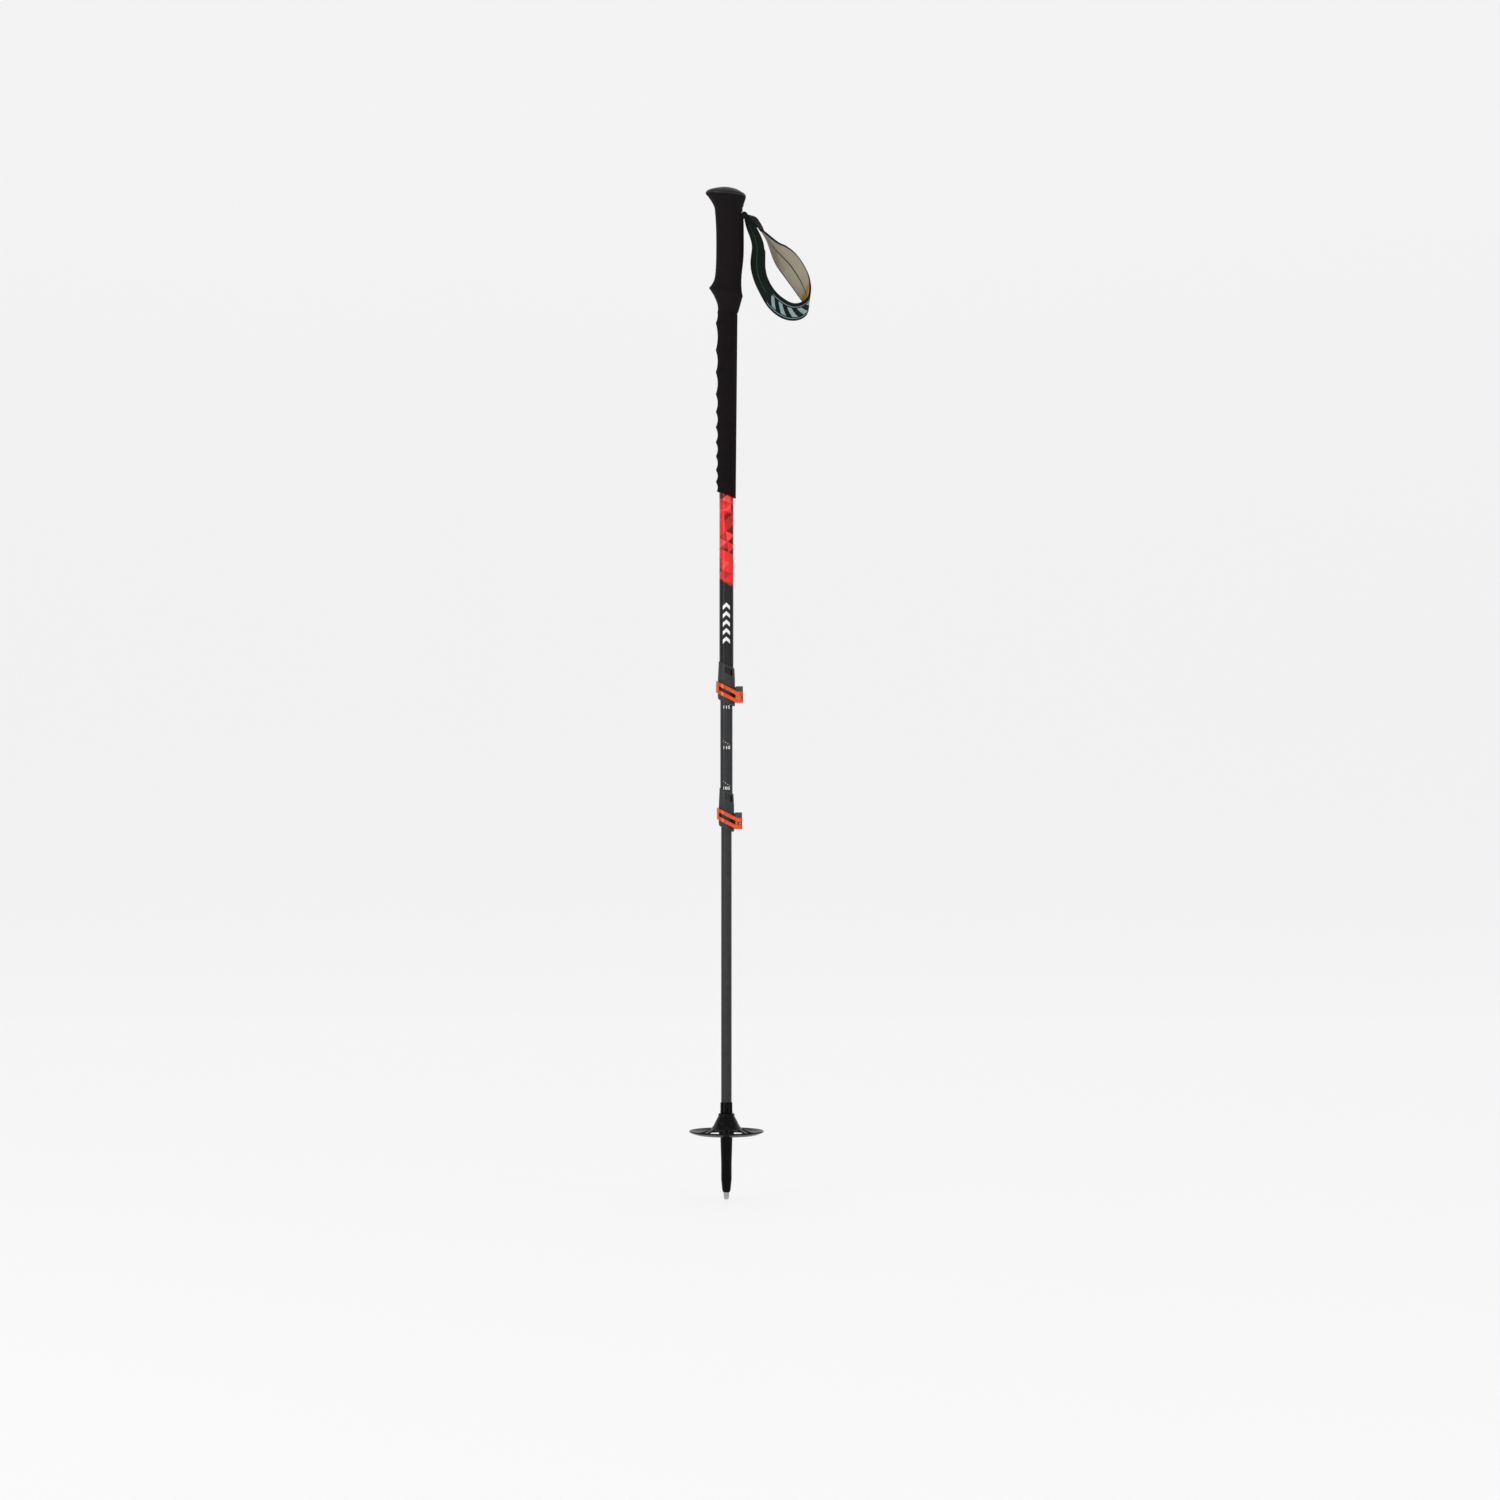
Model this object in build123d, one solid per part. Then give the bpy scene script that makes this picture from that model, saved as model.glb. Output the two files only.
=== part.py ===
from build123d import *
from dataclasses import dataclass
from math import cos, radians, sin, tan
import os

# Telescoping three-section touring ski pole, in millimetres.
# Frame: origin at the centre of the tip's flat end, +Z up the shaft, +X to the rear, where the strap
# leaves the grip.

# ------------------------------------------------------------------ driving dimensions
# Shaft
UPPER_TUBE_OD = 16.0
TUBE_WALL = 0.8
TUBE_GAP = 0.2  # radial gap between one tube and the next
LOWER_CLAMP_Z = 433.5  # lever centre line on the shaft axis
CLAMP_SPACING = 143.2  # lower lever to upper lever, at the stored length
CLAMP_TO_GRIP = 223.8  # upper lever to the lower end of the foam
MIDDLE_TUBE_LENGTH = 493.0
LOWER_TUBE_OVERLAP = 150.0  # lower tube inside the middle one, above the lower lever

# Fits
BOND = 0.05  # radial glue line or thread gap between pieces that don't move apart
RUN = 0.05  # radial running clearance of a guide, pin or screw
SWING_GAP = 0.35  # between a lever and its collar

# Clamps
COLLAR_WALL = 1.8
COLLAR_TAPER = 0.9  # how much thinner the collar is at its upper end
COLLAR_ABOVE = 31.0  # lever centre line to the slanted upper end, on the axis
COLLAR_BELOW = 12.5  # lever centre line to the slanted lower end, on the axis
COLLAR_FOOT_BEVEL = 1.3
SLANT_DEG = 27.5  # lever band and window, down towards the rear
END_SLANT_DEG = 24.0  # collar ends
SLIT = 1.2
EAR_WALL = 3.4
EAR_REACH = 9.0  # ears stand out this far behind the collar's surface
EAR_TOP = 5.7  # above the lever centre line
EAR_BOTTOM = -12.2
EAR_CORNER = 2.0
WINDOW_LOW = 21.5  # collar window, above the lever centre line
WINDOW_HEIGHT = 7.0
WINDOW_FRONT_X = -1.3
WINDOW_REAR_X = 6.6
LEVER_WALL = 1.85
LEVER_BAND = 13.4  # vertical height of the slanted band
LEVER_SLOT = 4.4  # vertical height of the slot along the band
SLOT_ENDS_X = (-8.3, 10.4)
LEVER_START_DEG = 172.0  # free end of the lever, measured from +X about +Z
BLOCK_DROP = 6.0  # pivot block's centre below the lever centre line
BLOCK_HEIGHT = 12.8
BLOCK_REACH = 6.4  # block in front of the pin
FLAT_FRONT_SHORT = 3.2  # the band's flat front ends this far in front of the pin
PIN_BEHIND = 6.2  # pivot pin behind the collar's surface
CAM_R = 3.15
CAM_GAP = 0.05
PIN_R = 1.9
SCREW_R = 1.2
SCREW_HOLE_GAP = 0.2
SCREW_HEAD_R = 2.9
SCREW_HEAD_T = 2.2
FORK_GAP = 3.8
PLATE_T = 0.8
PLATE_LIP = 1.2
WASHER_T = 0.6
TUBE_END_BELOW = 7.5  # outer tube's lower end below the lever centre line
TUBE_SLOT_TOP = 10.0  # slot in the outer tube's end, above the lever centre line

# Tip, ferrule and basket
TIP_END_R = 1.8
TIP_SHOULDER_R = 3.3
TIP_BELLY = (2.8, 2.3)  # radius and height, where the cone turns in to its end
TIP_SHANK_R = 2.0
TIP_EXPOSED = 8.5
TIP_SHANK = 14.5
FERRULE_NOSE_R = 4.2
FERRULE_LAND = (24.0, 42.0)  # cylindrical land that a rubber walking tip slips over
FERRULE_LAND_STEP = 0.85  # how much slimmer the land is than the top of the ferrule
FERRULE_WALL = 0.9  # outside the lower tube
FERRULE_TOP_Z = 110.8
FERRULE_SOCKET_Z = 58.0
BASKET_R = 42.0
BASKET_Z = 73.0  # underside of the hub
BASKET_HUB_HEIGHT = 25.0
BASKET_HUB_WALL = 1.7
BASKET_SKIN = 1.8
BASKET_LIP_Z = 6.4  # upturned lip's edge above the hub's underside
BASKET_LOW_Z = 1.5  # underside of the disc at its lowest, above the hub's underside
WINDOW_INNER_R = 18.0
WINDOW_OUTER_R = 31.5
# Dome of the hub, from its bore outwards and its top down: the outer surface, then the hollow underneath
DOME_OUTSIDE = ((2.35, 0.8), (2.65, 2.6), (4.45, 6.0), (6.65, 11.0), (9.25, 16.0))
DOME_INSIDE = ((1.7, 9.5), (5.05, 13.5), (7.65, 18.0))
DOME_FOOT_DEPTH = 20.0  # inside of the dome where it meets the windows, below the hub's top
SPOKES = 6
SPOKE_WIDTH = 6.0

# Guide bushes
GUIDE_HEAD = 10.0
GUIDE_SPIGOT = 14.0
GUIDE_BORE_R = 3.0

# Grip: a size that ends in OVER is measured outwards from the upper tube's surface
LOWER_GRIP_LENGTH = 207.5
UPPER_GRIP_LENGTH = 142.6
FIRST_RIDGE_BELOW = 12.0  # below the joint between the two grips
RIDGE_PITCHES = (31.0, 25.0, 25.0, 20.0, 17.5, 17.0, 16.0, 15.5, 13.5)
RIDGE_OVER = 4.1
VALLEY_OVER = 2.2
FOAM_REAR_OVER = (4.6, 2.7)  # at the lower foam's upper and lower end
FOAM_END_SLANT_DEG = 21.0
CORE_OVER = 1.4
CORE_BLOCK_OVER = 5.5
CORE_BLOCK_HALF_Y = 8.5
CORE_FOOT = 38.0  # core starts this far above the grips' joint
CORE_TOP_GAP = 14.0  # core ends this far below the top of the head
TUBE_TOP_GAP = 40.0  # upper tube ends this far below the top of the head
CAP_Z_BELOW_TOP = 9.2  # cap's seam on the axis
CAP_SLANT_DEG = 5.0
CAP_PLUG_R = 7.0
CAP_PLUG = 3.0

# Outline of the upper grip, each row as a height, then front, rear and half width over the tube's surface.
# The pommel's heights are above the joint between the grips, and the head's are below the top.
POMMEL_OVER = (
    (0.0, 2.3, 5.6, 3.5),
    (4.0, 1.7, 6.6, 3.6),
    (9.6, 2.4, 8.1, 4.4),
    (18.6, 6.0, 10.6, 6.8),
    (23.0, 8.9, 9.8, 7.6),
    (27.8, 11.6, 9.1, 7.7),
    (31.5, 9.0, 9.0, 6.7),
    (37.0, 6.0, 9.0, 5.6),
    (46.0, 4.5, 9.6, 5.2),
    (64.0, 3.7, 11.6, 5.4),
)
HEAD_OVER = (
    (50.6, 3.7, 11.8, 5.5),
    (30.6, 4.8, 11.4, 5.7),
    (21.6, 6.3, 11.3, 6.6),
    (12.1, 12.0, 14.0, 10.0),
    (7.6, 15.5, 13.4, 11.0),
    (4.6, 14.4, 8.6, 9.0),
    (2.3, 9.6, 3.0, 4.5),
    (0.0, 0.0, -5.0, -3.5),
)

# Strap
STRAP_PIVOT_OVER = 12.3
STRAP_BELOW_TOP = 32.1
KNUCKLE_R = 3.8
SEAT_GAP = 0.35
STRAP_HALF_NECK = 6.5
STRAP_WIDTH = 26.0
WEBBING_T = 2.2
LINING_T = 1.6
LINING_SHARE = 0.72  # lower part of the loop that carries the lining
TAIL_HALF_T = 2.5
CHANNEL_GAP = 0.25
TAIL_FRONT_OVER = 0.5
# Corners and corner radii of the strap's outer outline, from the strap pivot: x behind it, z above it
LOOP_CORNERS = ((1.7, 1.5), (8.5, -60.0), (32.0, -109.0), (72.0, -121.0), (76.0, -78.0), (40.0, -26.0))
LOOP_RADII = (2.5, 45.0, 26.0, 17.0, 30.0, 32.0)
WEDGE_REAR_OVER = 10.4
WEDGE_FRONT_OVER = 1.2
WEDGE_TOP = 9.2  # above the strap pivot
WEDGE_BOTTOM = 4.4

# ------------------------------------------------------------------ values that follow
MIDDLE_TUBE_OD = UPPER_TUBE_OD - 2 * (TUBE_WALL + TUBE_GAP)
LOWER_TUBE_OD = MIDDLE_TUBE_OD - 2 * (TUBE_WALL + TUBE_GAP)
TUBE_R = UPPER_TUBE_OD / 2
FERRULE_R = LOWER_TUBE_OD / 2 + FERRULE_WALL
FERRULE_LAND_R = FERRULE_R - FERRULE_LAND_STEP
UPPER_CLAMP_Z = LOWER_CLAMP_Z + CLAMP_SPACING
FOAM_END_Z = UPPER_CLAMP_Z + CLAMP_TO_GRIP
GRIP_JOINT_Z = FOAM_END_Z + LOWER_GRIP_LENGTH
TOP_Z = GRIP_JOINT_Z + UPPER_GRIP_LENGTH
STRAP_Z = TOP_Z - STRAP_BELOW_TOP
STRAP_PIVOT_X = TUBE_R + STRAP_PIVOT_OVER
TAIL_FRONT_X = TUBE_R + TAIL_FRONT_OVER
WEDGE_REAR_X = TUBE_R + WEDGE_REAR_OVER
WEDGE_FRONT_X = TUBE_R + WEDGE_FRONT_OVER
UPPER_TUBE_TOP_Z = TOP_Z - TUBE_TOP_GAP
EAR_FACE_Y = SLIT / 2 + EAR_WALL


@dataclass(frozen=True)
class Clamp:
    """One lever clamp: its height and the two tubes that it joins."""

    name: str
    z: float
    outer_od: float
    inner_od: float

    @property
    def collar_r(self):
        return self.outer_od / 2 + COLLAR_WALL

    @property
    def lever_in(self):
        return self.collar_r + SWING_GAP

    @property
    def lever_out(self):
        return self.lever_in + LEVER_WALL

    @property
    def pin_x(self):
        return self.collar_r + PIN_BEHIND

    @property
    def pin_y(self):
        return -(EAR_FACE_Y + PLATE_T + CAM_GAP + CAM_R)

    @property
    def block_z(self):
        return self.z - BLOCK_DROP

    @property
    def tube_end_z(self):
        return self.z - TUBE_END_BELOW


UPPER = Clamp("upper", UPPER_CLAMP_Z, UPPER_TUBE_OD, MIDDLE_TUBE_OD)
LOWER = Clamp("lower", LOWER_CLAMP_Z, MIDDLE_TUBE_OD, LOWER_TUBE_OD)
MIDDLE_TUBE_TOP_Z = LOWER.tube_end_z + MIDDLE_TUBE_LENGTH
LOWER_TUBE_TOP_Z = LOWER_CLAMP_Z + LOWER_TUBE_OVERLAP


# ------------------------------------------------------------------ shared shapes
def rod(radius, low, high):
    """A cylinder about the shaft axis."""
    return Pos(0, 0, low) * Cylinder(radius, high - low, align=(Align.CENTER, Align.CENTER, Align.MIN))


def tube(outer, inner, low, high):
    """A pipe about the shaft axis."""
    return rod(outer, low, high) - rod(inner, low - 1, high + 1)


def block(x_range, y_range, z_range):
    """A box between two corners."""
    size = [high - low for low, high in (x_range, y_range, z_range)]
    centre = [(high + low) / 2 for low, high in (x_range, y_range, z_range)]
    return Pos(*centre) * Box(*size)


def side_prism(sketch, y_low, y_high):
    """Extrudes a sketch drawn in x and z from y_low to y_high."""
    return extrude(Plane.XZ.offset(-y_high) * sketch, amount=y_high - y_low)


def cross_rod(x, z, radius, y_low, y_high):
    """A cylinder along Y."""
    return side_prism(Pos(x, z) * Circle(radius), y_low, y_high)


def turned(points):
    """Revolves an outline of (radius, height) points about the shaft axis."""
    return revolve(Plane.XZ * Polygon(*points, align=None), axis=Axis.Z)


def slant_plane(z, degrees):
    """A plane through the axis at z, facing up and falling towards the rear."""
    slope = radians(degrees)
    return Plane(origin=(0, 0, z), x_dir=(cos(slope), 0, -sin(slope)), z_dir=(sin(slope), 0, cos(slope)))


def slanted_sketch(x_low, x_high, z_low, height, degrees):
    """A parallelogram with upright ends whose long sides fall towards the rear."""
    fall = tan(radians(degrees))
    corners = [(x_low, z_low - fall * x_low), (x_high, z_low - fall * x_high)]
    corners += [(x, z + height) for x, z in reversed(corners)]
    return Polygon(*corners, align=None)


# ------------------------------------------------------------------ tip, ferrule and basket
def carbide_tip():
    shank_top = TIP_EXPOSED + TIP_SHANK
    return turned(
        [
            (0, 0),
            (TIP_END_R, 0),
            TIP_BELLY,
            (TIP_SHOULDER_R, TIP_EXPOSED - 1),
            (TIP_SHOULDER_R, TIP_EXPOSED),
            (TIP_SHANK_R, TIP_EXPOSED),
            (TIP_SHANK_R, shank_top),
            (0, shank_top),
        ]
    )


def tip_ferrule():
    land_low, land_high = FERRULE_LAND
    body = turned(
        [
            (0, TIP_EXPOSED),
            (TIP_SHOULDER_R, TIP_EXPOSED),
            (FERRULE_NOSE_R, TIP_EXPOSED + 0.6),
            (FERRULE_LAND_R - 0.9, TIP_EXPOSED + 6.5),
            (FERRULE_LAND_R, land_low),
            (FERRULE_LAND_R, land_high),
            (FERRULE_R, BASKET_Z - 4),
            (FERRULE_R, FERRULE_TOP_Z - 0.6),
            (FERRULE_R - 0.3, FERRULE_TOP_Z),
            (0, FERRULE_TOP_Z),
        ]
    )
    tip_hole = rod(TIP_SHANK_R + BOND, TIP_EXPOSED - 1, TIP_EXPOSED + TIP_SHANK + BOND)
    socket = rod(LOWER_TUBE_OD / 2 + BOND, FERRULE_SOCKET_Z - BOND, FERRULE_TOP_Z + 1)
    return body - tip_hole - socket


def basket():
    """Snow basket: domed hub on the ferrule, disc with an upturned lip, and windows between the spokes."""
    bore = FERRULE_R + BOND
    hub = bore + BASKET_HUB_WALL
    top = BASKET_Z + BASKET_HUB_HEIGHT
    foot = top - DOME_FOOT_DEPTH
    inner_rim = BASKET_Z + BASKET_LOW_Z + 1.1
    outline = [(bore, BASKET_Z), (hub, BASKET_Z)]
    outline += [(bore + out, top - depth) for out, depth in DOME_INSIDE]
    outline += [
        (WINDOW_INNER_R - 1, foot),
        (WINDOW_OUTER_R - 4, inner_rim),
        (WINDOW_OUTER_R + 4, BASKET_Z + BASKET_LOW_Z),
        (BASKET_R, BASKET_Z + BASKET_LIP_Z - 0.4),
        (BASKET_R - 0.8, BASKET_Z + BASKET_LIP_Z),
        (WINDOW_OUTER_R, inner_rim + BASKET_SKIN),
        (WINDOW_INNER_R, foot + BASKET_SKIN),
    ]
    outline += [(bore + out, top - depth) for out, depth in reversed(DOME_OUTSIDE)]
    outline += [(hub - 0.9, top), (bore, top)]
    body = turned(outline)
    gaps = tube(WINDOW_OUTER_R, WINDOW_INNER_R, BASKET_Z - 2, top)
    for index in range(SPOKES):
        spoke = block((0, BASKET_R), (-SPOKE_WIDTH / 2, SPOKE_WIDTH / 2), (BASKET_Z - 3, top + 1))
        gaps -= Rot(0, 0, 360 / SPOKES * (index + 0.5)) * spoke
    return body - gaps


# ------------------------------------------------------------------ tubes and guides
def slotted_end(pipe, clamp):
    """Cuts the clamping slot into the lower end of a pipe."""
    slot = block((0, clamp.outer_od), (-SLIT / 2, SLIT / 2), (clamp.tube_end_z - 1, clamp.z + TUBE_SLOT_TOP))
    return pipe - slot


def upper_tube():
    return slotted_end(tube(TUBE_R, TUBE_R - TUBE_WALL, UPPER.tube_end_z, UPPER_TUBE_TOP_Z), UPPER)


def middle_tube():
    radius = MIDDLE_TUBE_OD / 2
    return slotted_end(tube(radius, radius - TUBE_WALL, LOWER.tube_end_z, MIDDLE_TUBE_TOP_Z), LOWER)


def lower_tube():
    radius = LOWER_TUBE_OD / 2
    return tube(radius, radius - TUBE_WALL, FERRULE_SOCKET_Z, LOWER_TUBE_TOP_Z)


def tube_guide(od, top_z):
    """Bush on top of an inner tube: a spigot inside it and a head that runs in the outer tube."""
    spigot = rod(od / 2 - TUBE_WALL - BOND, top_z - GUIDE_SPIGOT, top_z)
    head = rod(od / 2 + TUBE_GAP - RUN, top_z, top_z + GUIDE_HEAD)
    return spigot + head - rod(GUIDE_BORE_R, top_z - GUIDE_SPIGOT - 1, top_z + GUIDE_HEAD + 1)


# ------------------------------------------------------------------ clamps
def collar(clamp):
    """Split collar, bonded over the outer tube's end, with two ears behind it."""
    low = clamp.z - COLLAR_BELOW - clamp.collar_r
    high = clamp.z + COLLAR_ABOVE + clamp.collar_r
    sleeve = turned(
        [
            (0, low),
            (clamp.collar_r, low),
            (clamp.collar_r, clamp.z + LEVER_BAND),
            (clamp.collar_r - COLLAR_TAPER, clamp.z + COLLAR_ABOVE),
            (clamp.collar_r - COLLAR_TAPER, high),
            (0, high),
        ]
    )
    sleeve = split(sleeve, slant_plane(clamp.z + COLLAR_ABOVE, END_SLANT_DEG), Keep.BOTTOM)
    sleeve = split(sleeve, slant_plane(clamp.z - COLLAR_BELOW, END_SLANT_DEG), Keep.TOP)
    ends = sleeve.faces().sort_by(Axis.Z)
    sleeve = chamfer(ends[-1].edges(), 0.6 * (COLLAR_WALL - COLLAR_TAPER))
    sleeve = chamfer(sleeve.faces().sort_by(Axis.Z)[0].edges(), COLLAR_FOOT_BEVEL)
    ear_end = clamp.collar_r + EAR_REACH
    outline = Pos(ear_end / 2, clamp.z + (EAR_TOP + EAR_BOTTOM) / 2)
    outline *= RectangleRounded(ear_end, EAR_TOP - EAR_BOTTOM, EAR_CORNER)
    body = sleeve + side_prism(outline, -EAR_FACE_Y, EAR_FACE_Y)
    seat = rod(clamp.outer_od / 2 + BOND, clamp.tube_end_z - BOND, high)
    lip = rod(clamp.inner_od / 2 + RUN + BOND, low - 1, clamp.z)
    slit = block((0, ear_end + 1), (-SLIT / 2, SLIT / 2), (low, clamp.z + EAR_TOP + 2))
    window = side_prism(
        slanted_sketch(WINDOW_FRONT_X, WINDOW_REAR_X, clamp.z + WINDOW_LOW, WINDOW_HEIGHT, SLANT_DEG),
        -clamp.collar_r - 1,
        0,
    )
    screw = cross_rod(clamp.pin_x, clamp.block_z, SCREW_R + SCREW_HOLE_GAP, -EAR_FACE_Y - 1, EAR_FACE_Y + 1)
    return body - seat - lip - slit - window - screw


def cam_plate(clamp):
    """Steel plate on the front ear, which the lever's cam presses on, bent over the ear's top."""
    x_range = (clamp.pin_x - 5.0, clamp.pin_x + CAM_R - 0.4)
    low, high = clamp.block_z - BLOCK_HEIGHT / 2, clamp.z + EAR_TOP
    face = block(x_range, (-EAR_FACE_Y - PLATE_T, -EAR_FACE_Y), (low, high + PLATE_T))
    lip = block(x_range, (-EAR_FACE_Y, -EAR_FACE_Y + PLATE_LIP), (high, high + PLATE_T))
    hole_r = SCREW_R + SCREW_HOLE_GAP
    hole = cross_rod(clamp.pin_x, clamp.block_z, hole_r, -EAR_FACE_Y - PLATE_T - 1, -EAR_FACE_Y + PLATE_LIP)
    return face + lip - hole


def pivot_pin(clamp):
    """Round cross nut that the lever turns on and the screw threads into."""
    half = BLOCK_HEIGHT / 2 - 0.3
    pin = Pos(clamp.pin_x, clamp.pin_y) * rod(PIN_R, clamp.block_z - half, clamp.block_z + half)
    front, back = clamp.pin_y - PIN_R - 1, clamp.pin_y + PIN_R + 1
    return pin - cross_rod(clamp.pin_x, clamp.block_z, SCREW_R + RUN, front, back)


def thrust_washer(clamp):
    back = EAR_FACE_Y + WASHER_T
    ring = cross_rod(clamp.pin_x, clamp.block_z, SCREW_HEAD_R, EAR_FACE_Y, back)
    return ring - cross_rod(clamp.pin_x, clamp.block_z, SCREW_R + SCREW_HOLE_GAP, 0, back + 1)


def tension_screw(clamp):
    """Slotted screw through both ears into the pivot pin."""
    head_y = EAR_FACE_Y + WASHER_T + RUN
    head_end = head_y + SCREW_HEAD_T
    shank = cross_rod(clamp.pin_x, clamp.block_z, SCREW_R, clamp.pin_y - PIN_R + 0.5, head_y + 0.5)
    head = cross_rod(clamp.pin_x, clamp.block_z, SCREW_HEAD_R, head_y, head_end)
    driver = block(
        (clamp.pin_x - SCREW_HEAD_R - 1, clamp.pin_x + SCREW_HEAD_R + 1),
        (head_end - 0.9, head_end + 1),
        (clamp.block_z - 0.4, clamp.block_z + 0.4),
    )
    return shank + head - driver


def lever(clamp):
    """Slanted band around the front of the collar, ending in the forked cam block on the pivot pin."""
    low, high = clamp.z - 3 * LEVER_BAND, clamp.z + 3 * LEVER_BAND
    start = radians(LEVER_START_DEG)
    reach = 2 * clamp.lever_out
    sector = Polygon(
        (0, 0),
        (reach * cos(start), reach * sin(start)),
        (-reach, -reach),
        (clamp.pin_x - BLOCK_REACH + 1, -reach),
        (clamp.pin_x - BLOCK_REACH + 1, clamp.pin_y + 1),
        align=None,
    )
    band = tube(clamp.lever_out, clamp.lever_in, low, high) & (Pos(0, 0, low) * extrude(sector, high - low))
    flat_front = Polygon(
        (0, -clamp.lever_out),
        (clamp.pin_x - FLAT_FRONT_SHORT, -clamp.lever_out),
        (clamp.pin_x - FLAT_FRONT_SHORT, clamp.pin_y + 1),
        (0, -clamp.lever_in),
        align=None,
    )
    band += Pos(0, 0, low) * extrude(flat_front, high - low)
    half = LEVER_BAND / 2
    stripe = slanted_sketch(-clamp.lever_out - 1, clamp.pin_x, clamp.z - half, LEVER_BAND, SLANT_DEG)
    band &= side_prism(stripe, -clamp.lever_out - 1, clamp.lever_out)
    slot = slanted_sketch(*SLOT_ENDS_X, clamp.z - LEVER_SLOT / 2, LEVER_SLOT, SLANT_DEG)
    band -= side_prism(slot, -clamp.lever_out - 1, 0)

    block_low, block_high = clamp.block_z - BLOCK_HEIGHT / 2, clamp.block_z + BLOCK_HEIGHT / 2
    front = Pos(clamp.pin_x - BLOCK_REACH / 2 + 0.4, (clamp.pin_y + 1 - clamp.lever_out) / 2)
    front *= Rectangle(BLOCK_REACH + 0.8, clamp.pin_y + 1 + clamp.lever_out)
    outer_corner = front.vertices().sort_by(Axis.X)[-2:].sort_by(Axis.Y)[0]
    profile = fillet(outer_corner, CAM_R - 0.6) + Pos(clamp.pin_x, clamp.pin_y) * Circle(CAM_R)
    cam_block = Pos(0, 0, block_low) * extrude(profile, block_high - block_low)
    cam_block -= side_prism(slot, -clamp.lever_out - 1, 0)

    pin_hole = Pos(clamp.pin_x, clamp.pin_y) * rod(PIN_R + RUN, block_low - 1, block_high + 1)
    fork = block(
        (clamp.pin_x - PIN_R - 0.4, clamp.pin_x + 2 * CAM_R),
        (clamp.pin_y - CAM_R + 0.15, clamp.pin_y + 2 * CAM_R),
        (clamp.block_z - FORK_GAP / 2, clamp.block_z + FORK_GAP / 2),
    )
    return band + cam_block - rod(clamp.lever_in, low - 1, high + 1) - pin_hole - fork


# ------------------------------------------------------------------ grip
def lower_grip_foam():
    """Long foam sleeve with finger ridges down its front."""
    top, bottom = GRIP_JOINT_Z, FOAM_END_Z
    heights = [top - FIRST_RIDGE_BELOW]
    for pitch in RIDGE_PITCHES:
        heights.append(heights[-1] - pitch)
    fronts = [(top, VALLEY_OVER), (heights[0], RIDGE_OVER)]
    for upper, lower in zip(heights, heights[1:]):
        fronts += [((upper + lower) / 2, VALLEY_OVER), (lower, RIDGE_OVER)]
    fronts.append((bottom - UPPER_TUBE_OD, VALLEY_OVER))
    sections = []
    for z, front in fronts:
        share = (top - z) / (top - bottom)
        rear = FOAM_REAR_OVER[0] + (FOAM_REAR_OVER[1] - FOAM_REAR_OVER[0]) * share
        sections.append(Plane.XY.offset(z) * Pos((rear - front) / 2, 0) * Circle(TUBE_R + (rear + front) / 2))
    foam = split(loft(sections, ruled=True), slant_plane(bottom, FOAM_END_SLANT_DEG), Keep.TOP)
    return foam - rod(TUBE_R + BOND, bottom - UPPER_TUBE_OD - 1, top + 1)


def grip_form():
    """Outer form of the upper grip, from the joint to the top of the head."""
    rows = [(GRIP_JOINT_Z + height, *over) for height, *over in POMMEL_OVER]
    rows += [(TOP_Z - depth, *over) for depth, *over in HEAD_OVER]
    sections = []
    for z, front, rear, side in rows:
        ellipse = Ellipse(TUBE_R + (rear + front) / 2, TUBE_R + side)
        sections.append(Plane.XY.offset(z) * Pos((rear - front) / 2, 0) * ellipse)
    return loft(sections, ruled=True)


def strap_channel():
    """Room for the strap's tail and the wedge above it, open to the rear."""
    half = STRAP_HALF_NECK + CHANNEL_GAP
    low, high = STRAP_Z - TAIL_HALF_T - CHANNEL_GAP, STRAP_Z + WEDGE_TOP + CHANNEL_GAP
    room = block((TAIL_FRONT_X - CHANNEL_GAP, STRAP_PIVOT_X + 10), (-half, half), (low, high))
    seat_half = STRAP_HALF_NECK + SEAT_GAP
    return room + cross_rod(STRAP_PIVOT_X, STRAP_Z, KNUCKLE_R + SEAT_GAP, -seat_half, seat_half)


def core_form(extra=0.0):
    """Outer form of the hard core, grown by extra."""
    low, high = GRIP_JOINT_Z + CORE_FOOT - extra, TOP_Z - CORE_TOP_GAP + extra
    rear = block(
        (0, TUBE_R + CORE_BLOCK_OVER + extra),
        (-CORE_BLOCK_HALF_Y - extra, CORE_BLOCK_HALF_Y + extra),
        (STRAP_Z - 3 * TAIL_HALF_T - extra, high),
    )
    return rod(TUBE_R + CORE_OVER + extra, low, high) + rear


def cap_plane():
    return slant_plane(TOP_Z - CAP_Z_BELOW_TOP, CAP_SLANT_DEG)


def grip_core():
    """Hard core inside the grip: sleeve on the tube and block that holds the strap's tail."""
    bore = rod(TUBE_R + BOND, GRIP_JOINT_Z, UPPER_TUBE_TOP_Z + BOND)
    plug = rod(CAP_PLUG_R + BOND, TOP_Z - CORE_TOP_GAP - CAP_PLUG - BOND, TOP_Z)
    return core_form() - bore - plug - strap_channel()


def grip_foam():
    """Moulded upper grip with the pommel and the flared head, over the core."""
    foam = split(grip_form(), cap_plane(), Keep.BOTTOM)
    tube_room = rod(TUBE_R + BOND, GRIP_JOINT_Z - 1, UPPER_TUBE_TOP_Z)
    plug = rod(CAP_PLUG_R + BOND, STRAP_Z, TOP_Z)
    return foam - tube_room - core_form(BOND) - plug - strap_channel()


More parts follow.
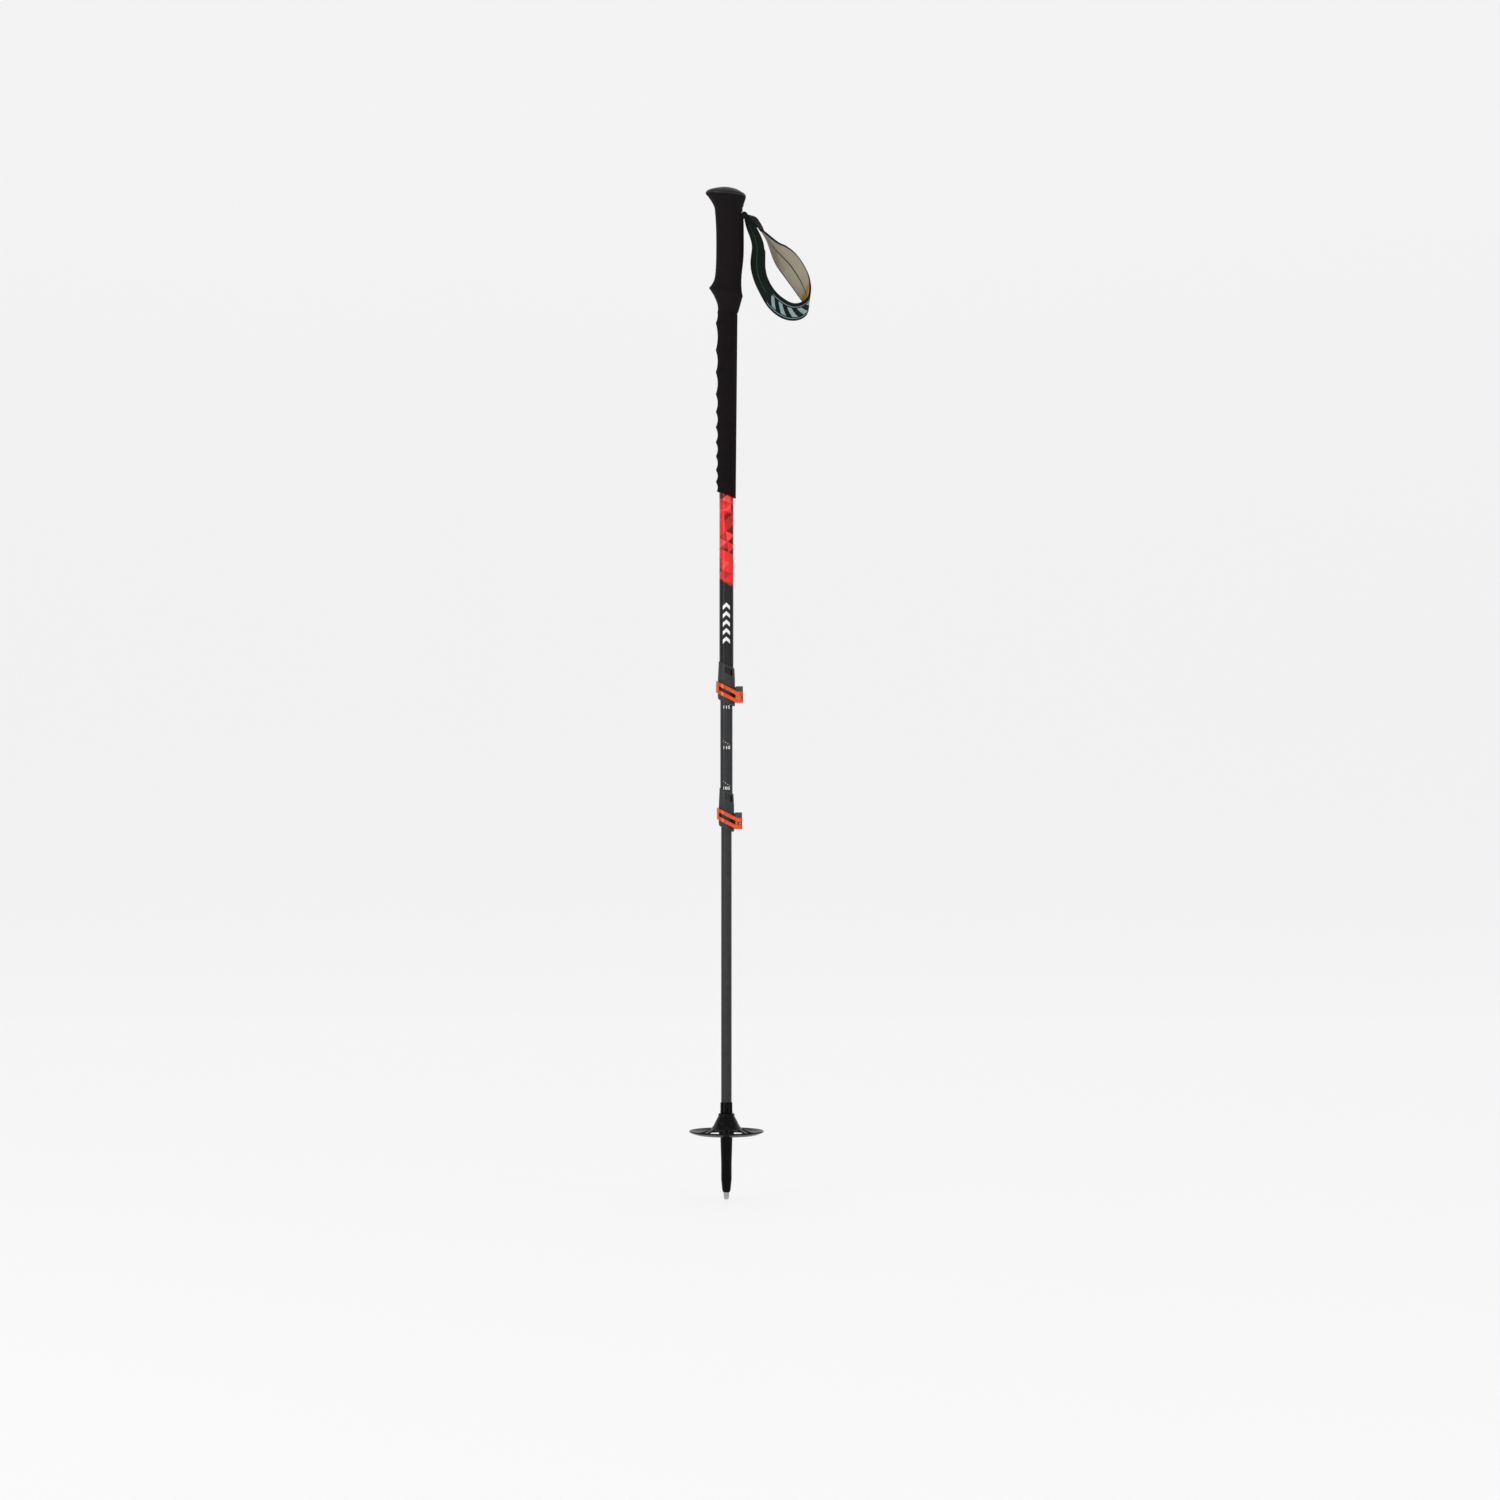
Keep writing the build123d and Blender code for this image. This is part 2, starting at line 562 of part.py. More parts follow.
def grip_cap():
    """Domed top of the head, with a plug that goes down into the core."""
    dome = split(grip_form(), cap_plane(), Keep.TOP)
    low = TOP_Z - CORE_TOP_GAP - CAP_PLUG
    return dome + rod(CAP_PLUG_R, low, TOP_Z - CAP_Z_BELOW_TOP + 1)


# ------------------------------------------------------------------ strap
def loop_face():
    corners = [(STRAP_PIVOT_X + x, STRAP_Z + z) for x, z in LOOP_CORNERS]
    return make_face(FilletPolyline(*corners, radius=list(LOOP_RADII), close=True))


def strap_webbing():
    """Outer webbing of the wrist loop, with the folded neck that turns at the grip."""
    outer = loop_face()
    half = STRAP_WIDTH / 2
    band = side_prism(outer - offset(outer, -WEBBING_T), -half, half)
    neck = cross_rod(STRAP_PIVOT_X, STRAP_Z, KNUCKLE_R, -STRAP_HALF_NECK, STRAP_HALF_NECK)
    reach = STRAP_PIVOT_X + KNUCKLE_R
    room = block((0, reach), (-half - 1, half + 1), (STRAP_Z - 20, TOP_Z))
    mouth = block((0, reach), (-STRAP_HALF_NECK, STRAP_HALF_NECK), (STRAP_Z - 21, TOP_Z + 1))
    return band - (room - mouth) + neck


def strap_lining():
    """Soft lining inside the lower part of the loop."""
    outer = offset(loop_face(), -WEBBING_T - BOND)
    half = STRAP_WIDTH / 2 - 0.5
    band = side_prism(outer - offset(outer, -LINING_T), -half, half)
    lowest = min(z for x, z in LOOP_CORNERS)
    reach = STRAP_PIVOT_X + max(x for x, z in LOOP_CORNERS)
    heights = (STRAP_Z + lowest, STRAP_Z + lowest * (1 - LINING_SHARE))
    return band & block((0, reach), (-half - 1, half + 1), heights)


def strap_tail():
    """End of the webbing, folded double inside the grip."""
    end_x = STRAP_PIVOT_X - KNUCKLE_R - SEAT_GAP
    half = STRAP_HALF_NECK
    return block((TAIL_FRONT_X, end_x), (-half, half), (STRAP_Z - TAIL_HALF_T, STRAP_Z + TAIL_HALF_T))


def strap_wedge():
    """Wedge that holds the strap's tail and slides out to the rear to free it."""
    low = STRAP_Z + TAIL_HALF_T + CHANNEL_GAP
    heel = STRAP_Z + WEDGE_BOTTOM
    top = STRAP_Z + WEDGE_TOP
    outline = Polygon(
        (WEDGE_FRONT_X, low),
        (WEDGE_FRONT_X + 3, low),
        (WEDGE_REAR_X - 2.8, heel),
        (WEDGE_REAR_X, heel),
        (WEDGE_REAR_X, top),
        (WEDGE_FRONT_X, top),
        align=None,
    )
    return side_prism(outline, -STRAP_HALF_NECK, STRAP_HALF_NECK)


# ------------------------------------------------------------------ write the nodes
def build():
    nodes = {
        "carbide_tip": carbide_tip(),
        "tip_ferrule": tip_ferrule(),
        "snow_basket": basket(),
        "lower_tube": lower_tube(),
        "lower_tube_guide": tube_guide(LOWER_TUBE_OD, LOWER_TUBE_TOP_Z),
        "middle_tube": middle_tube(),
        "middle_tube_guide": tube_guide(MIDDLE_TUBE_OD, MIDDLE_TUBE_TOP_Z),
        "upper_tube": upper_tube(),
        "lower_grip_foam": lower_grip_foam(),
        "grip_core": grip_core(),
        "grip_foam": grip_foam(),
        "grip_cap": grip_cap(),
        "strap_webbing": strap_webbing(),
        "strap_lining": strap_lining(),
        "strap_tail": strap_tail(),
        "strap_wedge": strap_wedge(),
    }
    for clamp in (UPPER, LOWER):
        nodes[clamp.name + "_collar"] = collar(clamp)
        nodes[clamp.name + "_lever"] = lever(clamp)
        nodes[clamp.name + "_cam_plate"] = cam_plate(clamp)
        nodes[clamp.name + "_pivot_pin"] = pivot_pin(clamp)
        nodes[clamp.name + "_tension_screw"] = tension_screw(clamp)
        nodes[clamp.name + "_thrust_washer"] = thrust_washer(clamp)
    return nodes


os.makedirs("parts", exist_ok=True)
for node, shape in build().items():
    export_step(shape, f"parts/{node}.step")
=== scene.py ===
"""Telescoping touring ski pole: the visible model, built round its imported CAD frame.

Lengths in the tables are millimetres, and meshes are metres, in the frame's own axes:
+Z up the shaft, +X to the rear where the strap leaves the grip, -Y the side that the marks face.
"""

import logging
import math
from collections.abc import Callable, Sequence
from dataclasses import dataclass, field, replace
from enum import Enum

import bmesh
import bpy
from mathutils import Matrix, Vector


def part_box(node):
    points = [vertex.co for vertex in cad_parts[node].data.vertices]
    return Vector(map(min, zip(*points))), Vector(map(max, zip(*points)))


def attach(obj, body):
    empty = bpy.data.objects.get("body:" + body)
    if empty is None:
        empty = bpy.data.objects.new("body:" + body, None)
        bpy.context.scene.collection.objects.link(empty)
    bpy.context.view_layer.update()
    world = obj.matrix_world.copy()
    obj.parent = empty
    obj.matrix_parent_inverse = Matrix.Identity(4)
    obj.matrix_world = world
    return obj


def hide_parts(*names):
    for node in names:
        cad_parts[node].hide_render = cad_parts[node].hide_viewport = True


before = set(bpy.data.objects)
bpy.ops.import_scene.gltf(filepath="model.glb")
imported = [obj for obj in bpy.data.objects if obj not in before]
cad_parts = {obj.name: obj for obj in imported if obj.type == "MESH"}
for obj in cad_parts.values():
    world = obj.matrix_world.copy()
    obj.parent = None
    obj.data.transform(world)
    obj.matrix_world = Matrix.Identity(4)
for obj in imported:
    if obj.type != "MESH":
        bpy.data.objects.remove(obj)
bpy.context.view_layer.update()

LOG = logging.getLogger("ski_pole")
MM = 0.001
BMesh = bmesh.types.BMesh
Piece = bpy.types.Object
Socket = bpy.types.NodeSocket
Colour = tuple[float, float, float, float]
Value = float | Sequence[float] | Socket


class Body(Enum):
    """The rigid bodies that pieces ride on."""

    HANDLE = "handle"
    STRAP = "strap"
    WEDGE = "wedge"
    UPPER_LEVER = "upper_lever"
    UPPER_SCREW = "upper_screw"
    MIDDLE = "middle_section"
    LOWER_LEVER = "lower_lever"
    LOWER_SCREW = "lower_screw"
    LOWER = "lower_section"


# ---------------------------------------------------------------------------- node materials
class NodeMaterial:
    """A procedural material being wired up round one Principled shader."""

    def __init__(self, name: str, sockets: dict[str, Value]) -> None:
        """Starts the material.

        Args:
            name: The material's name.
            sockets: Constants for the shader's own sockets.
        """
        self.material = bpy.data.materials.new(name)
        self.material.use_nodes = True
        self.tree = self.material.node_tree
        self.tree.nodes.clear()
        self.shader = self.node("BsdfPrincipled", dict(sockets))
        self.node("OutputMaterial", {"Surface": self.shader.outputs["BSDF"]})

    def node(self, kind: str, inputs: dict[str | int, Value] | None = None,
             **props: object) -> bpy.types.Node:
        """Adds a node.

        Args:
            kind: The node type without its ShaderNode prefix.
            inputs: Constants or output sockets for its inputs.
            **props: The node's own settings.

        Returns:
            The new node.
        """
        made = self.tree.nodes.new("ShaderNode" + kind)
        for name, value in props.items():
            setattr(made, name, value)
        for name, value in (inputs or {}).items():
            self.feed(made.inputs[name], value)
        return made

    def feed(self, socket: Socket, value: Value) -> None:
        """Links an output to the socket, or sets its constant."""
        if isinstance(value, Socket):
            self.tree.links.new(value, socket)
        else:
            socket.default_value = value

    def set(self, name: str, value: Value) -> None:
        """Feeds one of the shader's own sockets."""
        self.feed(self.shader.inputs[name], value)

    def coords(self) -> Socket:
        """The object's own coordinates, in metres."""
        return self.node("TexCoord").outputs["Object"]

    def uv(self) -> Socket:
        """The piece's own UV map."""
        return self.node("TexCoord").outputs["UV"]

    def scaled(self, vector: Value, scale: Sequence[float]) -> Socket:
        """A vector stretched along its axes."""
        return self.node("Mapping", {"Vector": vector, "Scale": scale}).outputs[0]

    def axes(self, vector: Value) -> tuple[Socket, ...]:
        """The three parts of a vector."""
        return tuple(self.node("SeparateXYZ", {0: vector}).outputs)

    def join(self, x: Value, y: Value, z: Value = 0.0) -> Socket:
        """A vector of three values."""
        return self.node("CombineXYZ", {0: x, 1: y, 2: z}).outputs[0]

    def math(self, operation: str, a: Value, b: Value = 0.0, c: Value = 0.0) -> Socket:
        """One math operation on up to three values."""
        return self.node("Math", {0: a, 1: b, 2: c}, operation=operation).outputs[0]

    def times(self, a: Value, b: Value) -> Socket:
        """The product of two values."""
        return self.math("MULTIPLY", a, b)

    def noise(self, vector: Value, scale: float, detail: float = 3.0, roughness: float = 0.55) -> Socket:
        """Smooth noise from 0 to 1."""
        inputs = {"Vector": vector, "Scale": scale, "Detail": detail, "Roughness": roughness}
        return self.node("TexNoise", inputs).outputs[0]

    def cells(self, vector: Value, scale: float, feature: str = "F1") -> Socket:
        """Distance to the nearest of scattered points."""
        cells = self.node("TexVoronoi", {"Vector": vector, "Scale": scale}, feature=feature)
        return cells.outputs["Distance"]

    def remap(self, value: Value, low: float, high: float, to_low: float, to_high: float) -> Socket:
        """A value brought from one range to another, and kept inside it."""
        inputs = {0: value, 1: low, 2: high, 3: to_low, 4: to_high}
        return self.node("MapRange", inputs).outputs[0]

    def mix(self, factor: Value, low: Value, high: Value) -> Socket:
        """A colour between two colours."""
        return self.node("Mix", {0: factor, 6: low, 7: high}, data_type="RGBA").outputs[2]

    def band(self, value: Value, low: float, high: float, soft: float) -> Socket:
        """1 where the value lies between two limits, with soft edges."""
        rise = self.remap(value, low - soft, low + soft, 0.0, 1.0)
        fall = self.remap(value, high - soft, high + soft, 1.0, 0.0)
        return self.times(rise, fall)

    def bump(self, height: Value, strength: float, distance: float) -> None:
        """Gives the shader its surface relief."""
        inputs = {"Height": height, "Strength": strength, "Distance": distance}
        self.set("Normal", self.node("Bump", inputs).outputs[0])


def shade(colour: Colour, share: float) -> Colour:
    """A colour made darker or lighter by a share of itself."""
    return tuple(min(1.0, part * share) for part in colour[:3]) + (colour[3],)


@dataclass(frozen=True)
class Finish:
    """A plain moulded finish: mottled colour, varied roughness and a fine grain.

    Args:
        name: The material's name.
        colour: Base colour, linear.
        roughness: Middle roughness.
        grain: Grains per metre.
        relief: Depth of the grain in metres.
        metallic: Share of metal.
        coat: Clear coat weight.
        specular: Strength of plain reflection.
        mottle: How far the colour wanders either way.
    """

    name: str
    colour: Colour
    roughness: float
    grain: float = 3200.0
    relief: float = 0.00004
    metallic: float = 0.0
    coat: float = 0.0
    specular: float = 0.35
    mottle: float = 0.12

    def make(self) -> bpy.types.Material:
        """The material, made once and then shared."""
        known = bpy.data.materials.get(self.name)
        if known:
            return known
        sockets = {
            "Base Color": self.colour,
            "Roughness": self.roughness,
            "Metallic": self.metallic,
            "Coat Weight": self.coat,
            "Coat Roughness": 0.12,
            "Specular IOR Level": self.specular,
        }
        work = NodeMaterial(self.name, sockets)
        self.dress(work)
        return work.material

    def dress(self, work: NodeMaterial) -> None:
        """Wires the finish's pattern and relief."""
        place = work.coords()
        work.set("Base Color", self.mottled(work, place))
        work.set("Roughness", self.worn(work, place))
        work.bump(work.noise(place, self.grain, 2.0), 0.6, self.relief)

    def mottled(self, work: NodeMaterial, place: Value) -> Socket:
        """The base colour, wandering a little over the piece."""
        cloud = work.remap(work.noise(place, 160.0), 0.3, 0.7, 0.0, 1.0)
        return work.mix(cloud, shade(self.colour, 1 - self.mottle), shade(self.colour, 1 + self.mottle))

    def worn(self, work: NodeMaterial, place: Value) -> Socket:
        """Roughness with handling marks."""
        cloud = work.noise(place, 90.0, 5.0, 0.65)
        return work.remap(cloud, 0.3, 0.7, self.roughness * 0.85, min(1.0, self.roughness * 1.2))


@dataclass(frozen=True)
class DrawnTube(Finish):
    """Anodised tube with fine draw lines along its length and a few light scuffs."""

    def dress(self, work: NodeMaterial) -> None:
        """Wires the draw lines, scuffs and colour."""
        place = work.coords()
        lines = work.noise(work.scaled(place, (1.0, 1.0, 0.02)), 2600.0, 3.0, 0.6)
        scuffs = work.noise(work.scaled(place, (0.35, 0.35, 1.0)), 700.0, 6.0, 0.75)
        scuffs = work.remap(scuffs, 0.66, 0.74, 0.0, 0.35)
        colour = self.paint(work, place, self.mottled(work, place))
        work.set("Base Color", work.mix(scuffs, colour, shade(self.colour, 2.2)))
        work.set("Roughness", work.remap(lines, 0.25, 0.75, self.roughness * 0.8, self.roughness * 1.25))
        work.bump(lines, 0.35, 0.00002)

    def paint(self, work: NodeMaterial, place: Value, base: Value) -> Value:
        """The colour with whatever is printed on the tube."""
        return base


@dataclass(frozen=True)
class PrintedTube(DrawnTube):
    """Upper tube: red faceted print under the grip, ending on a slant, and a plain chevron mark below it."""

    red: Colour = (0.83, 0.028, 0.024, 1.0)
    print_end: float = 0.700
    print_slope: float = 0.62
    radius: float = 0.008
    facet: float = 0.0105
    mark_low: float = 0.634
    mark_high: float = 0.682

    def paint(self, work: NodeMaterial, place: Value, base: Value) -> Value:
        """Lays the facets and the mark over the tube's own colour."""
        x, y, z = work.axes(place)
        around = work.times(work.math("ARCTAN2", x, work.times(y, -1.0)), self.radius)
        facets = self.facets(work, around, z)
        edge = work.math("MULTIPLY_ADD", x, self.print_slope, z)
        printed = work.remap(edge, self.print_end - 0.0002, self.print_end + 0.0002, 0.0, 1.0)
        colour = work.mix(printed, base, facets)
        return work.mix(self.mark(work, around, z), colour, (0.86, 0.86, 0.86, 1.0))

    def facets(self, work: NodeMaterial, around: Value, height: Value) -> Socket:
        """Random triangles in reds and maroons.

        Args:
            work: The material.
            around: Distance round the tube.
            height: Height on the tube.

        Returns:
            The facets' colour.
        """
        steps = []
        for turn in (8.0, 68.0, 128.0):
            across = work.times(around, math.cos(math.radians(turn)) / self.facet)
            along = work.times(height, math.sin(math.radians(turn)) / self.facet)
            steps.append(work.math("FLOOR", work.math("ADD", across, along)))
        pick = work.node("TexWhiteNoise", {"Vector": work.join(*steps)}, noise_dimensions="3D").outputs[0]
        broad = work.noise(work.join(around, height), 55.0, 1.0)
        pick = work.math("ADD", work.times(pick, 0.75), work.times(broad, 0.35))
        deep = work.mix(work.remap(pick, 0.60, 0.62, 0.0, 1.0), self.red, shade(self.red, 0.62))
        deep = work.mix(work.remap(pick, 0.76, 0.78, 0.0, 1.0), deep, shade(self.red, 0.22))
        bright = (0.90, 0.075, 0.06, 1.0)
        return work.mix(work.remap(pick, 0.22, 0.24, 1.0, 0.0), deep, bright)

    def mark(self, work: NodeMaterial, around: Value, height: Value) -> Socket:
        """Plain stacked chevrons in white: 1 on the print and 0 off it."""
        fold = work.math("MULTIPLY_ADD", work.math("ABSOLUTE", around), 0.9, height)
        phase = work.math("FRACT", work.math("DIVIDE", fold, 0.0096))
        bars = work.band(phase, 0.18, 0.62, 0.03)
        width = work.band(around, -0.0042, 0.0042, 0.0001)
        span = work.band(fold, self.mark_low, self.mark_high, 0.0001)
        return work.times(bars, work.times(width, span))


@dataclass(frozen=True)
class CellFoam(Finish):
    """Closed-cell foam: open pores cut by the moulding, with a soft bloom on the surface."""

    def dress(self, work: NodeMaterial) -> None:
        """Wires pores, colour with painted shade in the pores, and bloom."""
        place = work.coords()
        pores = work.cells(place, self.grain)
        wide = work.cells(place, self.grain * 0.37)
        # Painted shade: the colour darkens towards each pore's centre, where the bump sinks the surface.
        painted_pore_shade = work.remap(pores, 0.1, 0.7, 0.75, 1.15)
        tint = self.mottled(work, place)
        dark = work.mix(work.remap(painted_pore_shade, 0.75, 1.15, 0.0, 1.0), shade(self.colour, 0.55), tint)
        work.set("Base Color", dark)
        work.set("Roughness", work.remap(wide, 0.1, 0.8, self.roughness - 0.08, self.roughness + 0.08))
        height = work.math("ADD", pores, work.times(wide, 0.8))
        work.bump(height, 0.55, self.relief)


@dataclass(frozen=True)
class Webbing(Finish):
    """Tight-woven strap: black, with a thin green line and a plain band pattern at the bottom of the loop."""

    line: Colour = (0.06, 0.22, 0.06, 1.0)
    band: Colour = (0.33, 0.46, 0.47, 1.0)
    line_span: tuple[float, float] = (0.012, 0.092)
    band_span: tuple[float, float] = (0.100, 0.160)

    def dress(self, work: NodeMaterial) -> None:
        """Wires the weave and its colours from the strap's own map, with painted shade in the gaps between
        yarns.
        """
        along, across, _ = work.axes(work.uv())
        weave = self.weave(work, along, across)
        yarn = work.noise(work.join(along, across), 900.0, 2.0)
        base = work.mix(yarn, shade(self.colour, 0.7), shade(self.colour, 1.35))
        line = work.band(across, -0.0009, -0.0003, 0.00008)
        rule = work.times(line, self.span(work, along, self.line_span))
        colour = work.mix(rule, base, self.line)
        colour = work.mix(self.bars(work, along, across), colour, self.band)
        # Painted shade: the colour darkens towards black in the gaps between the raised yarns.
        painted_gap_shade = work.remap(weave, 0.0, 1.0, 0.45, 0.0)
        work.set("Base Color", work.mix(painted_gap_shade, colour, (0.004, 0.005, 0.004, 1.0)))
        work.bump(weave, 0.7, self.relief)

    def span(self, work: NodeMaterial, along: Value, ends: tuple[float, float]) -> Socket:
        """1 between two distances along the strap."""
        return work.band(along, ends[0], ends[1], 0.0006)

    def weave(self, work: NodeMaterial, along: Value, across: Value) -> Socket:
        """A twill of raised yarns, from 0 in the gaps to 1 on the yarns."""
        slant = work.math("ADD", work.times(along, 5200.0), work.times(across, 3400.0))
        cross = work.times(across, 7400.0)
        yarns = work.times(work.math("SINE", slant), work.math("SINE", cross))
        return work.math("MULTIPLY_ADD", yarns, 0.5, 0.5)

    def bars(self, work: NodeMaterial, along: Value, across: Value) -> Socket:
        """Slanted light bars between two thin rules: a plain woven band."""
        slant = work.math("MULTIPLY_ADD", across, 0.7, along)
        phase = work.math("FRACT", work.math("DIVIDE", slant, 0.0125))
        bars = work.times(work.band(phase, 0.2, 0.66, 0.02), work.band(across, -0.0066, 0.0066, 0.0002))
        rules = work.band(work.math("ABSOLUTE", across), 0.0084, 0.0092, 0.0001)
        inked = work.math("MAXIMUM", bars, rules)
        inked = work.times(inked, work.math("LESS_THAN", across, 0.05))
        return work.times(inked, self.span(work, along, self.band_span))


@dataclass(frozen=True)
class BrushedLining(Finish):
    """Beige brushed lining with a dark centre seam, dark bound edges and an ochre tab."""

    tab: Colour = (0.34, 0.17, 0.03, 1.0)
    tab_span: tuple[float, float] = (0.0, 0.0)
    half: float = 0.0125

    def dress(self, work: NodeMaterial) -> None:
        """Wires the nap, seam, binding and tab."""
        along, across, _ = work.axes(work.uv())
        flat = work.join(along, across)
        nap = work.noise(work.scaled(flat, (1.0, 2.4, 1.0)), 1500.0, 4.0, 0.7)
        soft = work.noise(flat, 120.0)
        base = work.mix(soft, shade(self.colour, 0.88), shade(self.colour, 1.1))
        base = work.mix(work.remap(nap, 0.3, 0.7, 0.0, 1.0), shade(self.colour, 0.8), base)
        tab = work.band(along, self.tab_span[0], self.tab_span[1], 0.0004)
        colour = work.mix(tab, base, self.tab)
        seam = work.band(across, -0.00055, 0.00055, 0.0001)
        edge = work.remap(work.math("ABSOLUTE", across), self.half - 0.0011, self.half - 0.0008, 0.0, 1.0)
        dark = work.math("MAXIMUM", seam, edge)
        work.set("Base Color", work.mix(dark, colour, (0.012, 0.02, 0.02, 1.0)))
        work.set("Sheen Weight", 0.15)
        work.set("Sheen Roughness", 0.5)
        stitch = self.stitches(work, along, across)
        height = work.math("SUBTRACT", work.times(nap, 0.5), stitch)
        work.bump(height, 0.6, self.relief)

    def stitches(self, work: NodeMaterial, along: Value, across: Value) -> Socket:
        """Rows of stitches beside the seam and inside the edges."""
        dashes = work.band(work.math("FRACT", work.math("DIVIDE", along, 0.0028)), 0.12, 0.7, 0.05)
        away = work.math("ABSOLUTE", across)
        by_seam = work.band(away, 0.0013, 0.0017, 0.0001)
        by_edge = work.band(away, 0.0098, 0.0102, 0.0001)
        rows = work.math("MAXIMUM", by_seam, by_edge)
        return work.times(dashes, rows)


@dataclass(frozen=True)
class BrushedSteel(Finish):
    """Steel hardware with fine scratches."""

    def dress(self, work: NodeMaterial) -> None:
        """Wires scratches into roughness and relief."""
        place = work.coords()
        lines = work.noise(work.scaled(place, (1.0, 1.0, 0.06)), 5200.0, 3.0, 0.7)
        work.set("Base Color", self.mottled(work, place))
        work.set("Roughness", work.remap(lines, 0.25, 0.75, self.roughness * 0.7, self.roughness * 1.4))
        work.bump(lines, 0.3, self.relief)


FERRULE = Finish("ferrule_black", (0.0015, 0.0015, 0.0018, 1.0), 0.13, relief=0.000004, specular=0.07)
BASKET = Finish("basket_black", (0.003, 0.003, 0.0034, 1.0), 0.26, relief=0.00002, specular=0.14)
COLLAR = Finish("collar_grey", (0.030, 0.033, 0.034, 1.0), 0.5, specular=0.3)
CAP = Finish("cap_grey", (0.010, 0.011, 0.011, 1.0), 0.42, relief=0.00006)
CORE = Finish("core_black", (0.02, 0.02, 0.02, 1.0), 0.55)
ACETAL = Finish("guide_natural", (0.62, 0.61, 0.57, 1.0), 0.4)
LEVER = Finish("lever_orange_red", (0.72, 0.075, 0.012, 1.0), 0.28, grain=5200.0, relief=0.00001,
               metallic=0.3, coat=0.2)
INK = Finish("mark_white", (0.92, 0.92, 0.92, 1.0), 0.6, mottle=0.05)
STEEL = BrushedSteel("hardware_steel", (0.50, 0.50, 0.51, 1.0), 0.3, metallic=1.0, relief=0.00001)
DARK_STEEL = BrushedSteel("hardware_blackened", (0.060, 0.062, 0.066, 1.0), 0.32, metallic=1.0,
                          relief=0.00001)
CARBIDE = BrushedSteel("tip_carbide", (0.42, 0.41, 0.39, 1.0), 0.36, metallic=1.0, relief=0.00003)
LOWER_TUBE = DrawnTube("lower_tube_black", (0.034, 0.034, 0.036, 1.0), 0.4, metallic=0.5)
MIDDLE_TUBE = DrawnTube("middle_tube_black", (0.030, 0.031, 0.034, 1.0), 0.38, metallic=0.5)
UPPER_TUBE = PrintedTube("upper_tube_print", (0.012, 0.012, 0.013, 1.0), 0.34, metallic=0.2, specular=0.25)
FOAM = CellFoam("long_grip_foam", (0.0095, 0.0070, 0.0080, 1.0), 0.85, grain=2300.0, relief=0.00016,
                specular=0.08)
GRIP = CellFoam("grip_foam", (0.0100, 0.0072, 0.0085, 1.0), 0.78, grain=3100.0, relief=0.00009, specular=0.1)
STRAP = Webbing("strap_webbing", (0.0045, 0.0110, 0.0085, 1.0), 0.75, relief=0.00014, specular=0.1)
LINING = BrushedLining("strap_lining", (0.36, 0.32, 0.235, 1.0), 0.85, relief=0.00012, specular=0.2)


# ---------------------------------------------------------------------------- mesh tools
def edges_between(bm: BMesh, verts: set[bmesh.types.BMVert]) -> list[bmesh.types.BMEdge]:
    """The edges whose two ends are both among the given vertices."""
    return [edge for edge in bm.edges if edge.verts[0] in verts and edge.verts[1] in verts]


def swept(bm: BMesh, start: Sequence[bmesh.types.BMVert], count: int,
          place: Callable[[int, int], Vector]) -> list[bmesh.types.BMVert]:
    """Pulls a closed or open row of vertices through further rows.

    Args:
        bm: The mesh being built.
        start: The first row, already in place and joined by edges.
        count: How many rows follow.
        place: Gives the place of a row's vertex from the row's and the vertex's number.

    Returns:
        The last row, in the first row's order.
    """
    row = list(start)
    order = {vert: number for number, vert in enumerate(row)}
    loop = edges_between(bm, set(row))
    for step in range(1, count + 1):
        made = bmesh.ops.extrude_edge_only(bm, edges=loop)["geom"]
        fresh = {item for item in made if isinstance(item, bmesh.types.BMVert)}
        links = [edge for vert in row for edge in vert.link_edges if edge.other_vert(vert) in fresh]
        numbers = {}
        for edge in links:
            old, new = edge.verts if edge.verts[0] in order else reversed(edge.verts)
            numbers[new] = order[old]
        for vert, number in numbers.items():
            vert.co = place(step, number)
        loop = [item for item in made if isinstance(item, bmesh.types.BMEdge) and set(item.verts) <= fresh]
        order = numbers
        row = sorted(numbers, key=numbers.get)
    return row


def closed_row(bm: BMesh, places: Sequence[Vector]) -> list[bmesh.types.BMVert]:
    """A closed row of vertices."""
    row = [bm.verts.new(place) for place in places]
    for one, other in zip(row, row[1:] + row[:1]):
        bm.edges.new((one, other))
    return row


def piece_from(bm: BMesh, name: str, sharp: float = 35.0) -> Piece:
    """Turns a finished bmesh into an object at the origin, with crisp edges past an angle.

    Args:
        bm: The mesh, which is freed.
        name: The piece's name.
        sharp: Edges between faces that turn by more degrees than this stay crisp.

    Returns:
        The linked object.
    """
    bmesh.ops.remove_doubles(bm, verts=bm.verts, dist=2e-6)
    bmesh.ops.recalc_face_normals(bm, faces=bm.faces)
    for face in bm.faces:
        face.smooth = True
    for edge in bm.edges:
        edge.smooth = not edge.is_manifold or edge.calc_face_angle(0.0) < math.radians(sharp)
    mesh = bpy.data.meshes.new(name)
    bm.to_mesh(mesh)
    bm.free()
    piece = bpy.data.objects.new(name, mesh)
    bpy.context.scene.collection.objects.link(piece)
    return piece


def spun(profile: Sequence[tuple[float, float]], steps: int = 72) -> BMesh:
    """Spins a profile about the shaft.

    Args:
        profile: Radius and height of each point, in millimetres, from one end on the axis to the other.
        steps: Faces round the shape.

    Returns:
        A new bmesh.
    """
    bm = bmesh.new()
    row = [bm.verts.new((radius * MM, 0.0, height * MM)) for radius, height in profile]
    edges = [bm.edges.new(pair) for pair in zip(row, row[1:])]
    bmesh.ops.spin(bm, geom=row + edges, cent=(0, 0, 0), axis=(0, 0, 1), angle=math.tau, steps=steps,
                   use_merge=True)
    bmesh.ops.remove_doubles(bm, verts=bm.verts, dist=2e-6)
    return bm


